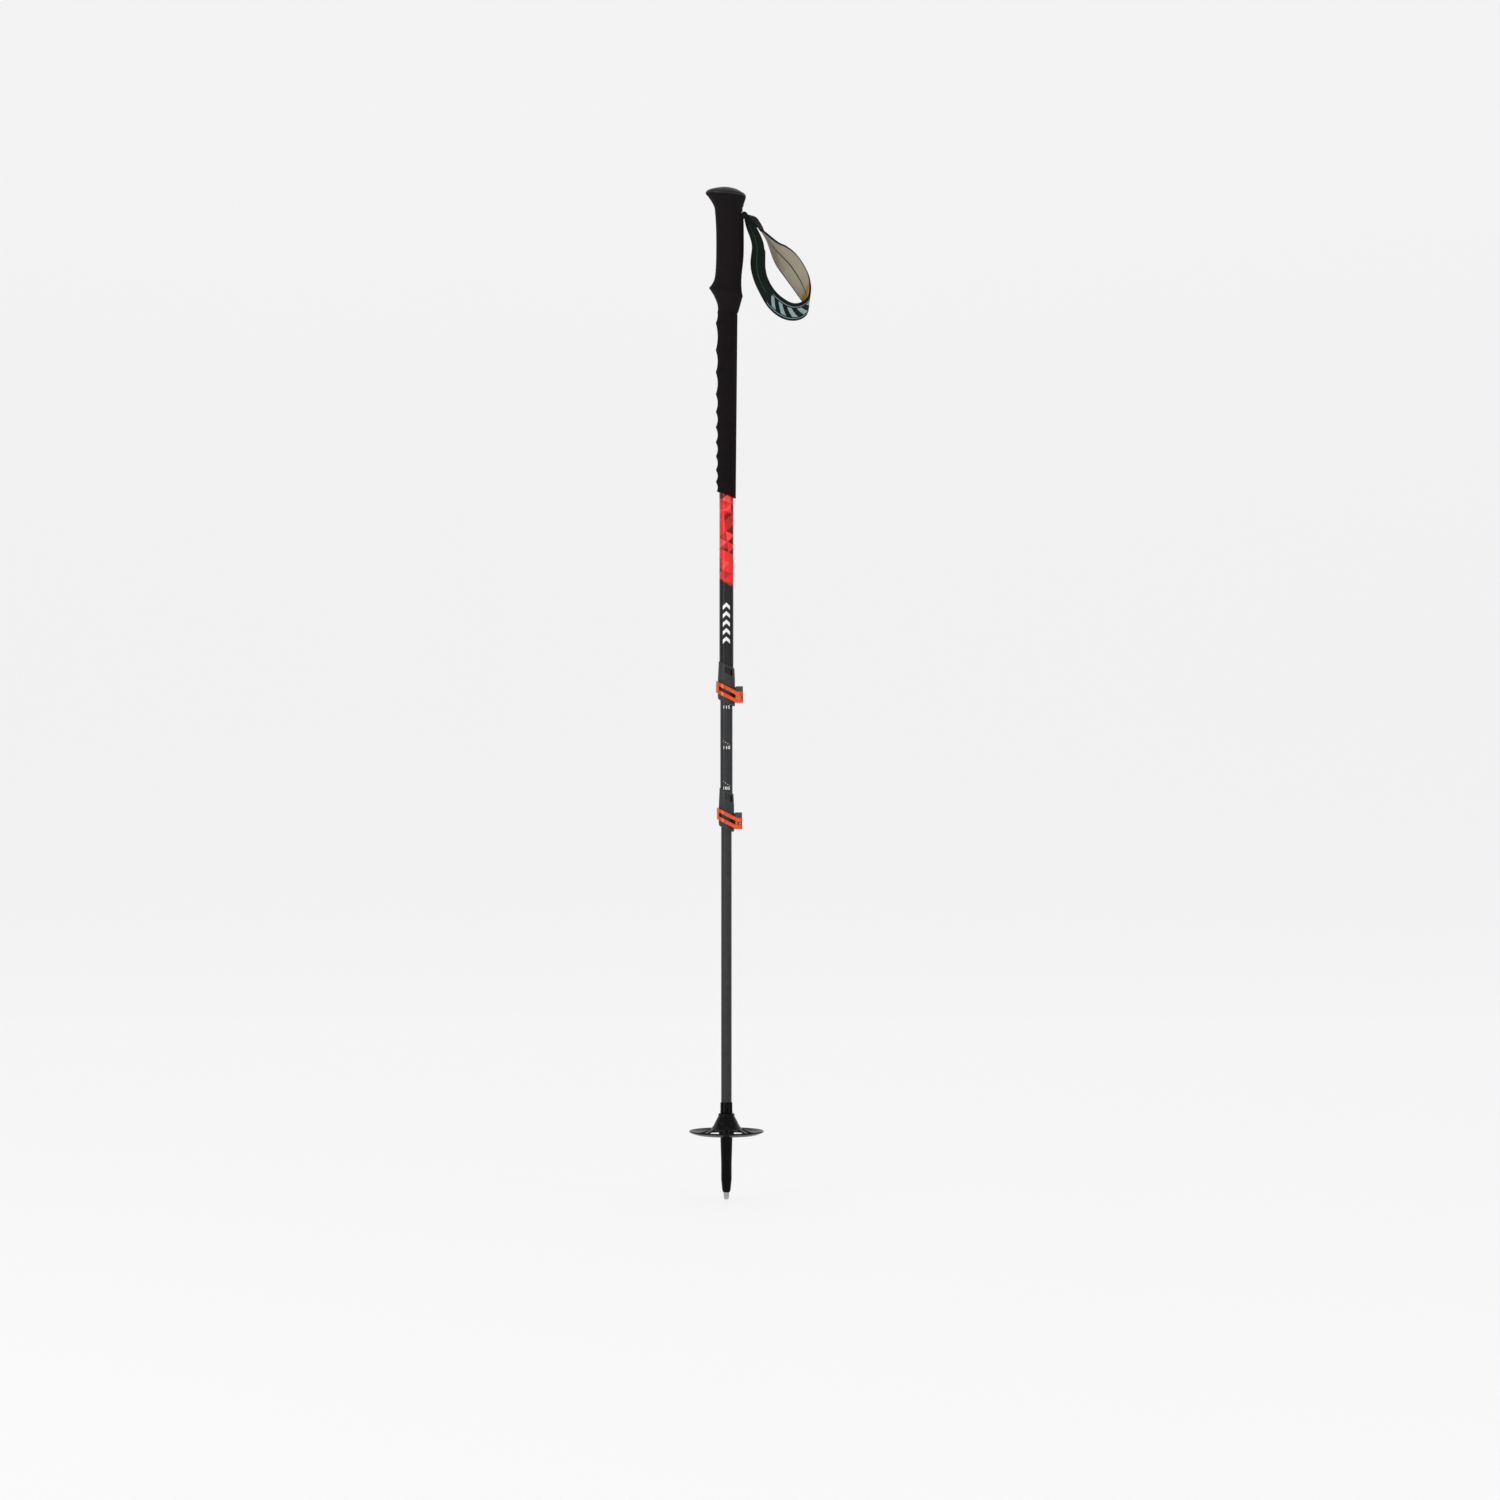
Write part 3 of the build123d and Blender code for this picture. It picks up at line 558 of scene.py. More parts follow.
def smooth_through(points: Sequence[Sequence[float]], parts: int) -> list[tuple[float, ...]]:
    """A smooth run of values through the given ones.

    Args:
        points: The values to pass through, each of the same length.
        parts: Steps from one to the next.

    Returns:
        The finer run, both ends included.
    """
    padded = [points[0], *points, points[-1]]
    run = []
    for a, b, c, d in zip(padded, padded[1:], padded[2:], padded[3:]):
        for part in range(parts):
            t = part / parts
            run.append(tuple(
                0.5 * (2 * q + (r - p) * t + (2 * p - 5 * q + 4 * r - s) * t ** 2
                       + (3 * q - p - 3 * r + s) * t ** 3)
                for p, q, r, s in zip(a, b, c, d)
            ))
    run.append(tuple(points[-1]))
    return run


def cut_away(bm: BMesh, point: Vector, normal: Vector) -> list[bmesh.types.BMEdge]:
    """Cuts off what lies in front of a plane.

    Args:
        bm: The mesh.
        point: A point on the plane.
        normal: The plane's direction, towards what goes.

    Returns:
        The open edges that the cut leaves.
    """
    geom = bm.verts[:] + bm.edges[:] + bm.faces[:]
    bmesh.ops.bisect_plane(bm, geom=geom, dist=1e-7, plane_co=point, plane_no=normal, clear_outer=True)
    return [
        edge for edge in bm.edges
        if edge.is_boundary and all(abs((vert.co - point).dot(normal)) < 1e-5 for vert in edge.verts)
    ]


def slant(degrees: float) -> Vector:
    """The direction of a plane that falls towards the rear."""
    turn = math.radians(degrees)
    return Vector((math.sin(turn), 0.0, math.cos(turn)))


@dataclass
class Assembly:
    """A group of pieces that are made together."""

    made: list[Piece] = field(default_factory=list, init=False)

    def settle(self, piece: Piece, finish: Finish, body: Body, slot: str, *nodes: str) -> Piece:
        """Dresses a new piece and ties it to the frame.

        Args:
            piece: The new piece.
            finish: What its surface is.
            body: The body that it moves with.
            slot: The name of a material slot; not used.
            *nodes: The CAD nodes that it stands for.

        Returns:
            The same piece.
        """
        piece.data.materials.clear()
        piece.data.materials.append(finish.make())
        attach(piece, body.value)
        if nodes:
            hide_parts(*nodes)
        self.made.append(piece)
        LOG.info("%s: %d faces on %s", piece.name, len(piece.data.polygons), body.value)
        return piece

    def keep(self, node: str, finish: Finish) -> None:
        """Gives a CAD node that stays its finish."""
        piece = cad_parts[node]
        piece.data.materials.clear()
        piece.data.materials.append(finish.make())
        LOG.info("%s: CAD node in %s", node, finish.name)

    def refined(self, node: str, width: float, segments: int = 2) -> Piece:
        """A merged copy of a CAD node with softened edges.

        Args:
            node: The CAD node.
            width: The edges' rounding, in millimetres.
            segments: Faces across each rounded edge.

        Returns:
            The new piece, not yet dressed.
        """
        bm = bmesh.new()
        bm.from_mesh(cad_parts[node].data)
        bmesh.ops.remove_doubles(bm, verts=bm.verts, dist=2e-6)
        bmesh.ops.dissolve_limit(bm, angle_limit=math.radians(0.8), verts=bm.verts, edges=bm.edges)
        piece = piece_from(bm, node + "_finished", 30.0)
        bevel = piece.modifiers.new("softened edges", "BEVEL")
        bevel.width = width * MM
        bevel.segments = segments
        bevel.limit_method = "ANGLE"
        bevel.angle_limit = math.radians(35.0)
        return piece


def carved(bm: BMesh, cutter: BMesh, name: str, sharp: float) -> Piece:
    """Takes one closed shape out of another.

    Args:
        bm: The shape that stays, which is freed.
        cutter: The shape taken out, which is freed.
        name: The piece's name.
        sharp: Edges between faces that turn by more degrees than this stay crisp.

    Returns:
        The linked object.
    """
    whole, gone = piece_from(bm, name + "_whole", sharp), piece_from(cutter, name + "_cutter")
    cutting = whole.modifiers.new("opening", "BOOLEAN")
    cutting.object, cutting.operation, cutting.solver = gone, "DIFFERENCE", "EXACT"
    bpy.context.view_layer.update()
    opened = bpy.data.meshes.new_from_object(whole.evaluated_get(bpy.context.evaluated_depsgraph_get()))
    fresh = bmesh.new()
    fresh.from_mesh(opened)
    for used in (whole, gone):
        bpy.data.objects.remove(used)
    bpy.data.meshes.remove(opened)
    return piece_from(fresh, name, sharp)


# ---------------------------------------------------------------------------- tip, ferrule and basket
@dataclass
class Tip(Assembly):
    """Hard-metal tip, ferrule and snow basket."""

    crown_points: int = 8
    basket_steps: int = 144
    spokes: int = 6
    window_in: float = 18.0
    window_out: float = 31.5
    spoke_width: float = 6.0
    skin: float = 1.8

    def build(self) -> None:
        """Builds the three pieces."""
        self.settle(self.carbide(), CARBIDE, Body.LOWER, "carbide", "carbide_tip")
        self.settle(self.ferrule(), FERRULE, Body.LOWER, "ferrule_plastic", "tip_ferrule")
        self.settle(self.basket(), BASKET, Body.LOWER, "basket_plastic", "snow_basket")

    def carbide(self) -> Piece:
        """The tip: a tapered pin whose hollow end has a crown of points."""
        profile = [(0, 1.2), (1.0, 0.9), (1.6, 0.1), (1.8, 0.0), (1.95, 0.2), (2.8, 2.3), (3.1, 4.5),
                   (3.3, 7.4), (3.3, 8.4)]
        profile += [(2.0, 8.6), (2.0, 20.0), (0, 20.0)]
        bm = spun(profile, self.crown_points * 8)
        rim = [vert for vert in bm.verts if vert.co.z < 0.3 * MM and vert.co.to_2d().length > 1.5 * MM]
        for vert in rim:
            wave = math.cos(self.crown_points * math.atan2(vert.co.y, vert.co.x))
            vert.co.z += (0.5 - 0.5 * wave) * 0.75 * MM
        return piece_from(bm, "carbide_tip_crowned")

    def ferrule(self) -> Piece:
        """The ferrule: blunt nose round the tip, straight land, taper, and a stepped collar at the top."""
        profile = [(3.35, 10.2), (3.35, 8.5), (3.95, 8.55), (4.2, 9.1), (4.55, 10.2), (5.05, 12.5),
                   (5.2, 15.0), (5.8, 20.5)]
        profile += [(6.0, 23.0), (6.05, 24.0), (6.05, 42.0), (6.1, 43.0), (6.85, 68.0), (6.9, 70.0),
                    (6.9, 98.6)]
        profile += [(7.15, 99.0), (7.15, 100.6), (6.9, 101.0), (6.9, 109.6), (6.75, 110.3), (6.4, 110.7),
                    (6.05, 110.8)]
        profile += [(6.05, 96.0)]
        bm = spun(profile)
        return piece_from(bm, "tip_ferrule_turned", 50.0)

    def basket(self) -> Piece:
        """The basket: domed hub with a flange, dished disc with an upturned lip, and windows."""
        dome = [(8.75, 97.6), (9.5, 96.4), (9.15, 95.3), (9.6, 94.2), (11.0, 91.6), (12.6, 88.6),
                (13.8, 85.9), (15.2, 83.6)]
        disc = [(18.0, 80.4), (22.0, 78.5), (26.0, 76.6), (30.0, 75.3), (33.0, 75.2), (36.5, 76.2),
                (39.5, 77.4), (41.7, 78.5)]
        bm = spun(smooth_through(dome + disc, 3), self.basket_steps)
        self.open_windows(bm)
        bmesh.ops.recalc_face_normals(bm, faces=bm.faces)
        if sum(face.normal.z for face in bm.faces) < 0:
            bmesh.ops.reverse_faces(bm, faces=bm.faces)
        bmesh.ops.solidify(bm, geom=bm.verts[:] + bm.edges[:] + bm.faces[:], thickness=self.skin * MM)
        rims = [e for e in bm.edges if e.is_manifold and e.calc_face_angle(0.0) > math.radians(50.0)]
        bmesh.ops.bevel(bm, geom=rims, offset=0.35 * MM, offset_type="OFFSET", segments=2, profile=0.5,
                        affect="EDGES", material=-1, clamp_overlap=True)
        hub = spun([(6.95, 73.0), (8.65, 73.0), (8.75, 73.1), (8.75, 97.9), (8.5, 98.0), (6.95, 98.0),
                    (6.95, 73.0)])
        spare = bpy.data.meshes.new("hub")
        hub.to_mesh(spare)
        hub.free()
        bm.from_mesh(spare)
        bpy.data.meshes.remove(spare)
        return piece_from(bm, "snow_basket_moulded", 40.0)

    def open_windows(self, bm: BMesh) -> None:
        """Takes the window faces out of the disc, between one spoke and the next."""
        gone = []
        for face in bm.faces:
            middle = face.calc_center_median() / MM
            radius = middle.to_2d().length
            turn = math.degrees(math.atan2(middle.y, middle.x)) % (360.0 / self.spokes) - 180.0 / self.spokes
            inside = self.window_in < radius < self.window_out
            if inside and abs(math.sin(math.radians(turn)) * radius) > self.spoke_width / 2:
                gone.append(face)
        bmesh.ops.delete(bm, geom=gone, context="FACES")


# ---------------------------------------------------------------------------- shaft
@dataclass
class Shaft(Assembly):
    """The three tubes, their guide bushes and the printed length marks."""

    mark_radius: float = 7.0
    digit_height: float = 3.4
    digit_stretch: float = 1.25
    first_mark: float = 467.3
    mark_pitch: float = 46.0
    marks: tuple[int, ...] = (105, 110, 115, 120, 125, 130)

    def build(self) -> None:
        """Builds the tubes and marks."""
        for node, finish, body, slot in (
            ("lower_tube", LOWER_TUBE, Body.LOWER, "lower_tube_anodised"),
            ("middle_tube", MIDDLE_TUBE, Body.MIDDLE, "middle_tube_anodised"),
            ("upper_tube", UPPER_TUBE, Body.HANDLE, "upper_tube_painted"),
        ):
            self.settle(self.refined(node, 0.15), finish, body, slot, node)
        self.keep("lower_tube_guide", ACETAL)
        self.keep("middle_tube_guide", ACETAL)
        self.settle(self.length_marks(), INK, Body.MIDDLE, "middle_tube_anodised")

    def length_marks(self) -> Piece:
        """Numbers and setting lines, wrapped round the middle tube's front."""
        bm = bmesh.new()
        for number, value in enumerate(self.marks):
            height = self.first_mark + number * self.mark_pitch
            self.add_number(bm, str(value), height)
            self.add_line(bm, height)
        bmesh.ops.triangulate(bm, faces=bm.faces)
        bmesh.ops.subdivide_edges(bm, edges=bm.edges, cuts=2, use_grid_fill=True)
        for vert in bm.verts:
            turn = vert.co.x / (self.mark_radius * MM)
            reach = self.mark_radius * MM + vert.co.y
            vert.co = Vector((reach * math.sin(turn), -reach * math.cos(turn), vert.co.z))
        return piece_from(bm, "length_marks", 30.0)

    def add_number(self, bm: BMesh, text: str, height: float) -> None:
        """Adds one number, still flat: x across, y its thickness, z up."""
        curve = bpy.data.curves.new("number", "FONT")
        curve.body = text
        curve.size = self.digit_height * 1.4 * MM
        curve.align_x = "CENTER"
        curve.align_y = "CENTER"
        curve.extrude = 0.00006
        curve.offset = 0.00006
        holder = bpy.data.objects.new("number", curve)
        bpy.context.scene.collection.objects.link(holder)
        flat = bpy.data.meshes.new_from_object(holder.evaluated_get(bpy.context.evaluated_depsgraph_get()))
        upright = Matrix(((self.digit_stretch, 0, 0, 0), (0, 0, 1, 0), (0, 1, 0, height * MM), (0, 0, 0, 1)))
        flat.transform(upright)
        bm.from_mesh(flat)
        bpy.data.objects.remove(holder)
        bpy.data.curves.remove(curve)
        bpy.data.meshes.remove(flat)

    def add_line(self, bm: BMesh, height: float) -> None:
        """Adds the slanted setting line above a number."""
        cube = bmesh.ops.create_cube(bm, size=1.0)["verts"]
        turn = Matrix.Rotation(math.radians(33.0), 4, "Y")
        grow = Matrix.Diagonal((9.6 * MM, 0.12 * MM, 0.6 * MM, 1.0))
        lift = Matrix.Translation((0.3 * MM, 0, (height + 5.4) * MM))
        bmesh.ops.transform(bm, matrix=lift @ turn @ grow, verts=cube)


# ---------------------------------------------------------------------------- clamps
@dataclass
class Clamp(Assembly):
    """One cam-lever clamp: collar, lever, cam plate, pivot pin, tension screw and washer."""

    name: str = "upper"
    holder: Body = Body.HANDLE
    lever: Body = Body.UPPER_LEVER
    screw: Body = Body.UPPER_SCREW

    def build(self) -> None:
        """Builds the clamp's six pieces."""
        rows = (
            ("collar", 0.3, COLLAR, self.holder, "collar_plastic"),
            ("lever", 0.35, LEVER, self.lever, "lever_red"),
            ("cam_plate", 0.15, DARK_STEEL, self.holder, "steel"),
            ("pivot_pin", 0.25, DARK_STEEL, self.holder, "steel"),
            ("tension_screw", 0.25, STEEL, self.screw, "steel"),
            ("thrust_washer", 0.12, STEEL, self.holder, "steel"),
        )
        for part, width, finish, body, slot in rows:
            node = f"{self.name}_{part}"
            self.settle(self.refined(node, width), finish, body, slot, node)


# ---------------------------------------------------------------------------- grip
@dataclass
class Grip(Assembly):
    """Long foam sleeve, moulded upper grip, cap, core and the strap's fastening."""

    joint: float = field(default_factory=lambda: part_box("grip_foam")[0].z / MM)
    sleeve_end: float = 800.5
    sleeve_slant: float = 21.0
    bore: float = 8.05
    seam_below_top: float = 9.2
    seam_slant: float = 5.0
    ridges: tuple[float, ...] = (996.0, 965.0, 940.0, 915.0, 895.0, 877.5, 860.5, 844.5, 829.0, 815.5)
    ridge_front: float = 12.3
    valley_front: float = 10.0
    groove_tilt: float = 13.0
    segments: int = 72
    # Height at the front, front x, rear x, half width, and how much lower the rear of that ring lies
    outline: tuple[tuple[float, float, float, float, float], ...] = (
        (0.0, -10.3, 13.6, 11.5, 0.0),
        (4.0, -9.7, 14.2, 11.6, 1.4),
        (10.0, -10.5, 15.2, 12.4, 4.0),
        (19.0, -14.2, 16.6, 14.2, 7.5),
        (24.5, -17.6, 17.8, 15.4, 8.9),
        (27.2, -19.4, 18.5, 16.0, 9.2),
        (28.2, -19.5, 18.5, 16.0, 9.2),
        (31.0, -17.2, 17.8, 14.9, 8.4),
        (37.0, -14.0, 17.1, 13.6, 6.5),
        (46.0, -12.5, 17.4, 13.2, 3.5),
        (64.0, -11.7, 19.6, 13.4, 0.0),
        (92.0, -11.7, 19.8, 13.5, 0.0),
        (112.0, -12.8, 19.4, 13.7, 0.0),
        (121.0, -14.3, 19.3, 14.6, 0.0),
        (130.5, -20.0, 22.0, 18.0, 0.6),
        (135.0, -23.5, 21.4, 19.0, 0.9),
        (138.0, -22.4, 16.6, 17.0, 0.6),
        (140.3, -17.6, 11.0, 12.5, 0.0),
        (142.3, -8.0, 3.0, 5.0, 0.0),
    )

    def build(self) -> None:
        """Builds the grip from the sleeve up."""
        self.settle(self.sleeve(), FOAM, Body.HANDLE, "foam", "lower_grip_foam")
        slotted = self.handle(below=True)
        grip = carved(slotted, self.slot(), "grip_slotted", 60.0)
        hollow = bmesh.new()
        hollow.from_mesh(grip.data)
        bpy.data.objects.remove(grip)
        grip = carved(hollow, self.hollow(), "grip_moulded", 60.0)
        self.settle(grip, GRIP, Body.HANDLE, "grip_rubber", "grip_foam")
        cap = piece_from(self.handle(below=False), "grip_cap_domed", 60.0)
        self.settle(cap, CAP, Body.HANDLE, "cap_plastic", "grip_cap")
        self.keep("grip_core", CORE)
        self.settle(self.refined("strap_wedge", 0.5), CAP, Body.WEDGE, "cap_plastic", "strap_wedge")
        self.settle(self.refined("strap_tail", 0.4), CORE, Body.HANDLE, "strap_fabric", "strap_tail")

    def front_at(self, height: float) -> float:
        """How far the sleeve stands forward of the axis at a height: cusped ridges with hollows between."""
        below = max([ridge for ridge in self.ridges if ridge <= height], default=self.ridges[-1] - 13.0)
        above = min([ridge for ridge in self.ridges if ridge > height], default=self.joint + 6.0)
        share = (height - below) / (above - below)
        hollow = math.sin(math.pi * min(1.0, max(0.0, share))) ** 0.8
        return self.ridge_front - (self.ridge_front - self.valley_front) * hollow

    def sleeve(self) -> Piece:
        """The long foam sleeve, with ridges that lean and fade towards the rear."""
        low, high, step = self.sleeve_end - 14.0, self.joint + 14.0, 1.4
        count = int((high - low) / step)

        def ring(number: int, spoke: int) -> Vector:
            """Where one vertex of a row lies."""
            height = low + number * step
            share = (self.joint - height) / (self.joint - self.sleeve_end)
            rear = 12.6 - 1.9 * min(1.0, max(0.0, share))
            front = self.front_at(height)
            radius, turn = (rear + front) / 2, math.tau * spoke / self.segments
            x = (rear - front) / 2 - radius * math.cos(turn)
            lean = math.tan(math.radians(self.groove_tilt)) * (x + front)
            return Vector((x, radius * math.sin(turn), height - lean)) * MM

        bm = bmesh.new()
        first = closed_row(bm, [ring(0, spoke) for spoke in range(self.segments)])
        swept(bm, first, count, ring)
        foot = cut_away(bm, Vector((0, 0, self.sleeve_end * MM)), -slant(self.sleeve_slant))
        head = cut_away(bm, Vector((0, 0, self.joint * MM)), Vector((0, 0, 1)))
        for rim in (foot, head):
            bmesh.ops.contextual_create(bm, geom=[edge for edge in rim if edge.is_valid])
        bore = spun([(0.0, low - 10.0), (self.bore, low - 10.0), (self.bore, high + 10.0),
                     (0.0, high + 10.0)])
        piece = carved(bm, bore, "long_grip_sleeve", 50.0)
        soft = piece.modifiers.new("softened rims", "BEVEL")
        soft.width, soft.segments = 0.8 * MM, 3
        soft.limit_method, soft.angle_limit = "ANGLE", math.radians(55.0)
        return piece

    def handle(self, below: bool) -> BMesh:
        """The upper grip below its cap's seam, or the cap above it.

        Args:
            below: True for the grip, False for the cap.

        Returns:
            A new closed bmesh.
        """
        rings = smooth_through(self.outline, 5)

        def ring(number: int, spoke: int) -> Vector:
            """Where one vertex of a row lies."""
            height, front, rear, half, drop = rings[number]
            turn = math.tau * spoke / self.segments
            x = (rear + front) / 2 - (rear - front) / 2 * math.cos(turn)
            z = self.joint + height - drop * (0.5 - 0.5 * math.cos(turn))
            return Vector((x, half * math.sin(turn), z)) * MM

        bm = bmesh.new()
        first = closed_row(bm, [ring(0, spoke) for spoke in range(self.segments)])
        last = swept(bm, first, len(rings) - 1, ring)
        for row in (first, last):
            bmesh.ops.contextual_create(bm, geom=row)
        top = self.joint + self.outline[-1][0]
        seam = Vector((0, 0, (top - self.seam_below_top + (-0.15 if below else 0.15)) * MM))
        facing = slant(self.seam_slant) if below else -slant(self.seam_slant)
        rim = cut_away(bm, seam, facing)
        lid = bmesh.ops.contextual_create(bm, geom=rim)["faces"]
        edges = [edge for face in lid for edge in face.edges]
        bmesh.ops.bevel(bm, geom=edges, offset=0.55 * MM, offset_type="OFFSET", segments=3, profile=0.5,
                        affect="EDGES", material=-1, clamp_overlap=True)
        return bm

    def hollow(self) -> BMesh:
        """What the upper tube and its core fill in the grip."""
        (_, _, low), (_, core_y, high) = (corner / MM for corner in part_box("grip_core"))
        room = core_y + self.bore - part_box("upper_tube")[1].x / MM
        return spun([(0.0, self.joint - 5.0), (self.bore, self.joint - 5.0), (self.bore, low), (room, low),
                     (room, high + 0.2), (0.0, high + 0.2)])

    def slot(self) -> BMesh:
        """The strap's slot through the rear of the grip."""
        low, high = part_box("strap_tail")[0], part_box("strap_wedge")[1]
        half, gap = 6.75 * MM, 0.25 * MM
        bm = bmesh.new()
        cube = bmesh.ops.create_cube(bm, size=1.0)["verts"]
        size = (0.030, 2 * half, high.z - low.z + 2 * gap)
        centre = (low.x + 0.015 - gap, 0, (high.z + low.z) / 2)
        bmesh.ops.transform(bm, matrix=Matrix.Translation(centre) @ Matrix.Diagonal((*size, 1.0)), verts=cube)
        return bm


# ---------------------------------------------------------------------------- strap
@dataclass
class WristStrap(Assembly):
    """The wrist loop: woven webbing, padded lining and the folded knuckle at the grip."""

    pivot: tuple[float, float] = (20.3, 1118.5)
    half_width: float = 13.0
    half_thick: float = 0.8
    parts: int = 6
    # Middle of the band behind and below the pivot and its place in y, then the reach to its near edge
    # in x and z, then the band's half width there.
    stations: tuple[tuple[float, float, float, float, float, float], ...] = (
        (1.2, 0.0, 0.0, 0.6, 2.0, 6.5),
        (3.4, -4.5, 0.0, 2.4, 1.8, 7.5),
        (8.0, -14.1, -0.5, 4.8, 0.6, 9.5),
        (13.0, -25.6, -1.0, 5.6, 0.4, 11.5),
        (15.4, -34.7, -1.5, 6.4, 0.2, 13.0),
        (15.4, -44.4, -1.5, 7.4, 0.1, 13.0),
        (15.0, -52.8, -1.0, 7.8, 0.1, 13.0),
        (15.6, -61.9, 0.0, 7.4, 0.6, 13.0),
        (18.4, -72.8, 1.0, 6.6, 1.8, 13.0),
        (23.7, -84.1, 2.0, 5.8, 3.4, 13.0),
        (31.2, -95.4, 4.0, 5.2, 6.0, 13.0),
        (40.9, -104.0, 6.0, 4.4, 7.8, 13.0),
        (51.2, -108.8, 8.0, 2.8, 8.4, 13.0),
        (60.9, -109.0, 10.0, 1.0, 8.5, 13.0),
        (68.8, -105.2, 12.0, 0.0, 8.0, 13.0),
        (73.3, -98.9, 13.5, 0.6, 7.2, 13.0),
        (73.4, -91.4, 14.5, 2.2, 8.2, 13.0),
        (70.2, -84.0, 15.0, 5.0, 10.0, 13.0),
        (65.2, -74.4, 15.0, 7.3, 10.5, 13.2),
        (57.3, -62.2, 13.5, 9.1, 10.0, 13.6),
        (49.7, -52.2, 12.0, 8.9, 10.0, 13.6),
        (41.6, -43.3, 9.0, 6.8, 8.2, 13.2),
        (35.2, -35.6, 6.0, 4.4, 3.6, 13.0),
        (29.4, -27.4, 4.0, 2.2, 0.8, 12.0),
        (23.2, -19.8, 2.5, -0.2, 0.0, 11.0),
        (18.2, -13.6, 1.5, -1.9, -2.1, 10.0),
        (11.8, -5.6, 0.5, -2.1, -3.4, 9.0),
        (5.4, -0.9, 0.0, -1.2, -1.4, 7.5),
        (0.6, 0.8, 0.0, -0.4, -0.4, 6.5),
    )
    lined: tuple[int, int] = (4, 25)
    tab: tuple[int, int] = (16, 17)

    def build(self) -> None:
        """Builds the webbing, lining and knuckle."""
        rows = self.rows()
        webbing = self.band(rows, self.webbing_section(), "strap_webbing_loop")
        self.settle(webbing, STRAP, Body.STRAP, "strap_fabric", "strap_webbing")
        first, last = (number * self.parts for number in self.lined)
        lining = self.band(rows[first:last + 1], self.lining_section(), "strap_lining_pad", taper=5)
        tab = (rows[self.tab[0] * self.parts][0], rows[self.tab[1] * self.parts][0])
        self.settle(lining, replace(LINING, tab_span=tab), Body.STRAP, "lining_fabric", "strap_lining")
        self.settle(self.knuckle(), STRAP, Body.STRAP, "strap_fabric")

    def rows(self) -> list[tuple[float, Vector, Vector, Vector]]:
        """Distance along the strap, middle, reach to the near edge and outward direction of each row."""
        middles, reaches = [], []
        for x, z, y, reach_x, reach_z, half in smooth_through(self.stations, self.parts):
            middles.append(Vector((self.pivot[0] + x, y, self.pivot[1] + z)) * MM)
            depth = math.sqrt(max(0.0, half ** 2 - reach_x ** 2 - reach_z ** 2))
            reaches.append(Vector((reach_x, -depth, reach_z)) * MM)
        rows, travelled = [], 0.0
        for number, (middle, reach) in enumerate(zip(middles, reaches)):
            before, after = middles[max(0, number - 1)], middles[min(len(middles) - 1, number + 1)]
            travelled += (middle - before).length
            outward = (after - before).cross(reach).normalized()
            rows.append((travelled, middle, reach, outward))
        return rows

    def webbing_section(self) -> list[tuple[float, float, float]]:
        """Closed section of the webbing: share of the half width, thickness, and its place in the UV map."""
        shares = (-1.0, -0.96, -0.85, -0.6, -0.3, 0.0, 0.3, 0.6, 0.85, 0.96, 1.0)
        thick = (0.25, 0.9, 1.0, 1.0, 1.0, 1.0, 1.0, 1.0, 1.0, 0.9, 0.25)
        sides = list(zip(shares, thick))
        outside = [(share, part * self.half_thick, share * self.half_width) for share, part in sides]
        inside = [(share, -part * self.half_thick, 100.0 + share * self.half_width) for share, part in sides]
        return outside + inside[::-1]

    def lining_section(self) -> list[tuple[float, float, float]]:
        """Closed section of the lining: two soft channels either side of the centre seam."""
        half, back = 12.5, -(self.half_thick + 0.05)
        shares = (-1.0, -0.97, -0.88, -0.68, -0.46, -0.22, -0.06, 0.0, 0.06, 0.22, 0.46, 0.68, 0.88, 0.97,
                  1.0)
        depth = (0.3, 0.9, 1.0, 1.5, 1.75, 1.6, 1.1, 0.7, 1.1, 1.6, 1.75, 1.5, 1.0, 0.9, 0.3)
        inside = [(share, back - deep, share * half) for share, deep in zip(shares, depth)]
        outside = [(share, back, 100.0 + share * half) for share in shares]
        return inside + outside[::-1]

    def band(self, rows: Sequence[tuple[float, Vector, Vector, Vector]],
             section: Sequence[tuple[float, float, float]], name: str, taper: int = 0) -> Piece:
        """Sweeps a section along the loop and maps it.

        Args:
            rows: The cross-sections' places.
            section: The closed section.
            name: The piece's name.
            taper: Rows over which both ends narrow to a point.

        Returns:
            The new piece, with a UV map in metres: along the strap, then across it.
        """

        def place(number: int, corner: int) -> Vector:
            """Where one vertex of a row lies."""
            _, middle, reach, outward = rows[number]
            share, thick, _ = section[corner]
            end = min(number, len(rows) - 1 - number)
            narrow = 1.0 if end >= taper else 0.25 + 0.75 * math.sin(math.pi / 2 * end / taper)
            return middle + reach * share * narrow + outward * thick * MM

        bm = bmesh.new()
        first = closed_row(bm, [place(0, corner) for corner in range(len(section))])
        last = swept(bm, first, len(rows) - 1, place)
        for row in (first, last):
            bmesh.ops.contextual_create(bm, geom=row)
        bm.verts.index_update()
        piece = piece_from(bm, name, 70.0)
        self.map_band(piece, rows, section)
        return piece

    def map_band(self, piece: Piece, rows: Sequence[tuple[float, Vector, Vector, Vector]],
                 section: Sequence[tuple[float, float, float]]) -> None:
        """Writes the UV map: each row's vertices follow one another in the section's order."""
        layer = piece.data.uv_layers.new(name="along_and_across")
        wide = len(section)
        for loop in piece.data.loops:
            row, corner = divmod(loop.vertex_index, wide)
            layer.data[loop.index].uv = (rows[row][0], section[corner][2] * MM)

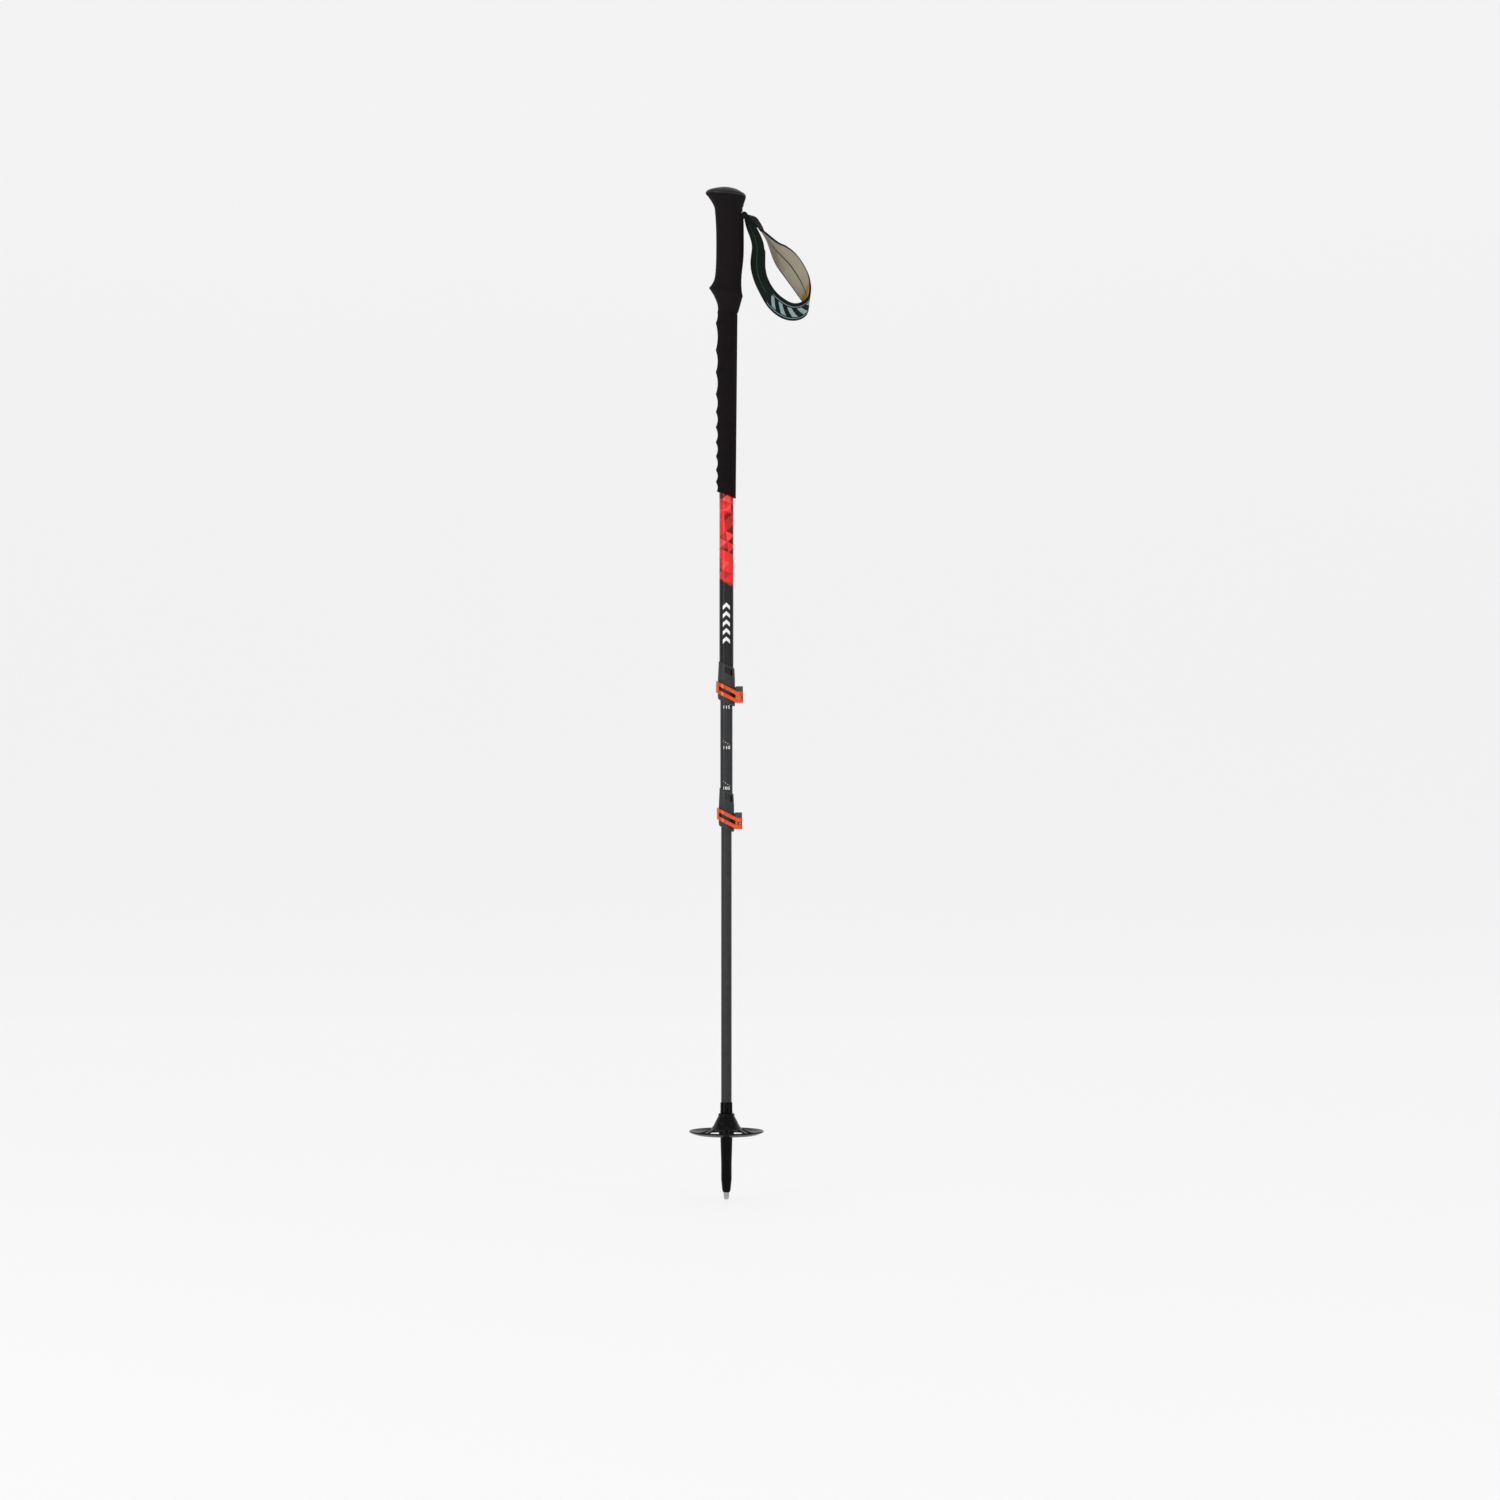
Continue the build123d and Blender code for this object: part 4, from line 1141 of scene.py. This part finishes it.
    def knuckle(self) -> Piece:
        """The rolled fold that turns in the grip's slot."""
        profile = [(0.0, -6.4), (2.9, -6.4), (3.5, -6.0), (3.6, -5.2), (3.6, 5.2), (3.5, 6.0), (2.9, 6.4),
                   (0.0, 6.4)]
        bm = spun(profile, 40)
        place = Matrix.Translation((self.pivot[0] * MM, 0, self.pivot[1] * MM))
        turn = place @ Matrix.Rotation(math.pi / 2, 4, "X")
        bmesh.ops.transform(bm, matrix=turn, verts=bm.verts)
        return piece_from(bm, "strap_knuckle", 50.0)


# ---------------------------------------------------------------------------- stage
@dataclass(frozen=True)
class PaleSweep(Finish):
    """Pale paper with a light of its own, so that it stays even."""

    glow: float = 3.75

    def dress(self, work: NodeMaterial) -> None:
        """Lights the paper."""
        work.set("Emission Color", self.colour)
        work.set("Emission Strength", self.glow)


@dataclass
class Stage:
    """Camera, pale floor and soft studio light."""

    eye: tuple[float, float, float] = (0.0268, -4.7, 0.5108)
    frame_width: float = 1.7045
    floor_colour: Colour = (0.20, 0.20, 0.20, 1.0)

    def build(self) -> None:
        """Sets the stage."""
        bpy.context.scene.view_settings.view_transform = "Standard"
        self.camera()
        self.floor()
        self.lights()

    def camera(self) -> None:
        """The camera, level, straight in front of the pole."""
        data = bpy.data.cameras.new("camera")
        data.lens = data.sensor_width * -self.eye[1] / self.frame_width
        data.clip_end = 60.0
        camera = bpy.data.objects.new("camera", data)
        camera.location = self.eye
        camera.rotation_euler = (math.pi / 2, 0.0, 0.0)
        bpy.context.scene.collection.objects.link(camera)
        bpy.context.scene.camera = camera

    def floor(self) -> None:
        """A pale floor that sweeps up behind the pole."""
        bm = bmesh.new()
        low, bend, back, top = -12.0, 3.0, 5.0, 12.0
        profile = [(low, 0.0), (bend, 0.0)]
        for part in range(1, 12):
            turn = math.pi / 2 * part / 12
            profile.append((bend + (back - bend) * math.sin(turn), (back - bend) * (1 - math.cos(turn))))
        profile += [(back, back - bend), (back, top)]
        row = [bm.verts.new((-14.0, y, z)) for y, z in profile]
        edges = [bm.edges.new(pair) for pair in zip(row, row[1:])]
        made = bmesh.ops.extrude_edge_only(bm, edges=edges)["geom"]
        fresh = [item for item in made if isinstance(item, bmesh.types.BMVert)]
        bmesh.ops.translate(bm, verts=fresh, vec=(28.0, 0, 0))
        floor = piece_from(bm, "floor", 180.0)
        floor.data.materials.append(PaleSweep("floor_pale", self.floor_colour, 0.9).make())

    def lights(self) -> None:
        """Large soft panels left, right and above, and an even surround."""
        for name, place, width, height, power in (
            ("left_panel", (-2.6, -2.6, 1.4), 1.6, 2.0, 42.0),
            ("right_panel", (2.8, -2.2, 1.4), 1.2, 2.0, 15.0),
            ("top_panel", (0.0, -0.4, 3.6), 2.6, 2.6, 7.0),
            ("front_strip", (0.45, -3.4, 0.5), 0.10, 1.8, 12.0),
        ):
            data = bpy.data.lights.new(name, "AREA")
            data.shape, data.size, data.size_y, data.energy = "RECTANGLE", width, height, power
            light = bpy.data.objects.new(name, data)
            light.location = place
            aim = Vector((0.0, 0.0, 0.6)) - Vector(place)
            light.rotation_euler = aim.to_track_quat("-Z", "Y").to_euler()
            bpy.context.scene.collection.objects.link(light)
        world = bpy.data.worlds.new("surround")
        world.use_nodes = True
        surround = world.node_tree.nodes["Background"]
        surround.inputs["Color"].default_value = (1.0, 1.0, 1.0, 1.0)
        surround.inputs["Strength"].default_value = 0.4
        bpy.context.scene.world = world


def main() -> None:
    """Builds the stage and the pole from the tip up."""
    logging.basicConfig(level=logging.INFO, format="%(name)s %(message)s")
    Stage().build()
    for assembly in (
        Tip(),
        Shaft(),
        Clamp(name="lower", holder=Body.MIDDLE, lever=Body.LOWER_LEVER, screw=Body.LOWER_SCREW),
        Clamp(),
        Grip(),
        WristStrap(),
    ):
        assembly.build()
        LOG.info("%s: %d pieces", type(assembly).__name__, len(assembly.made))


if __name__ == "__main__":
    main()
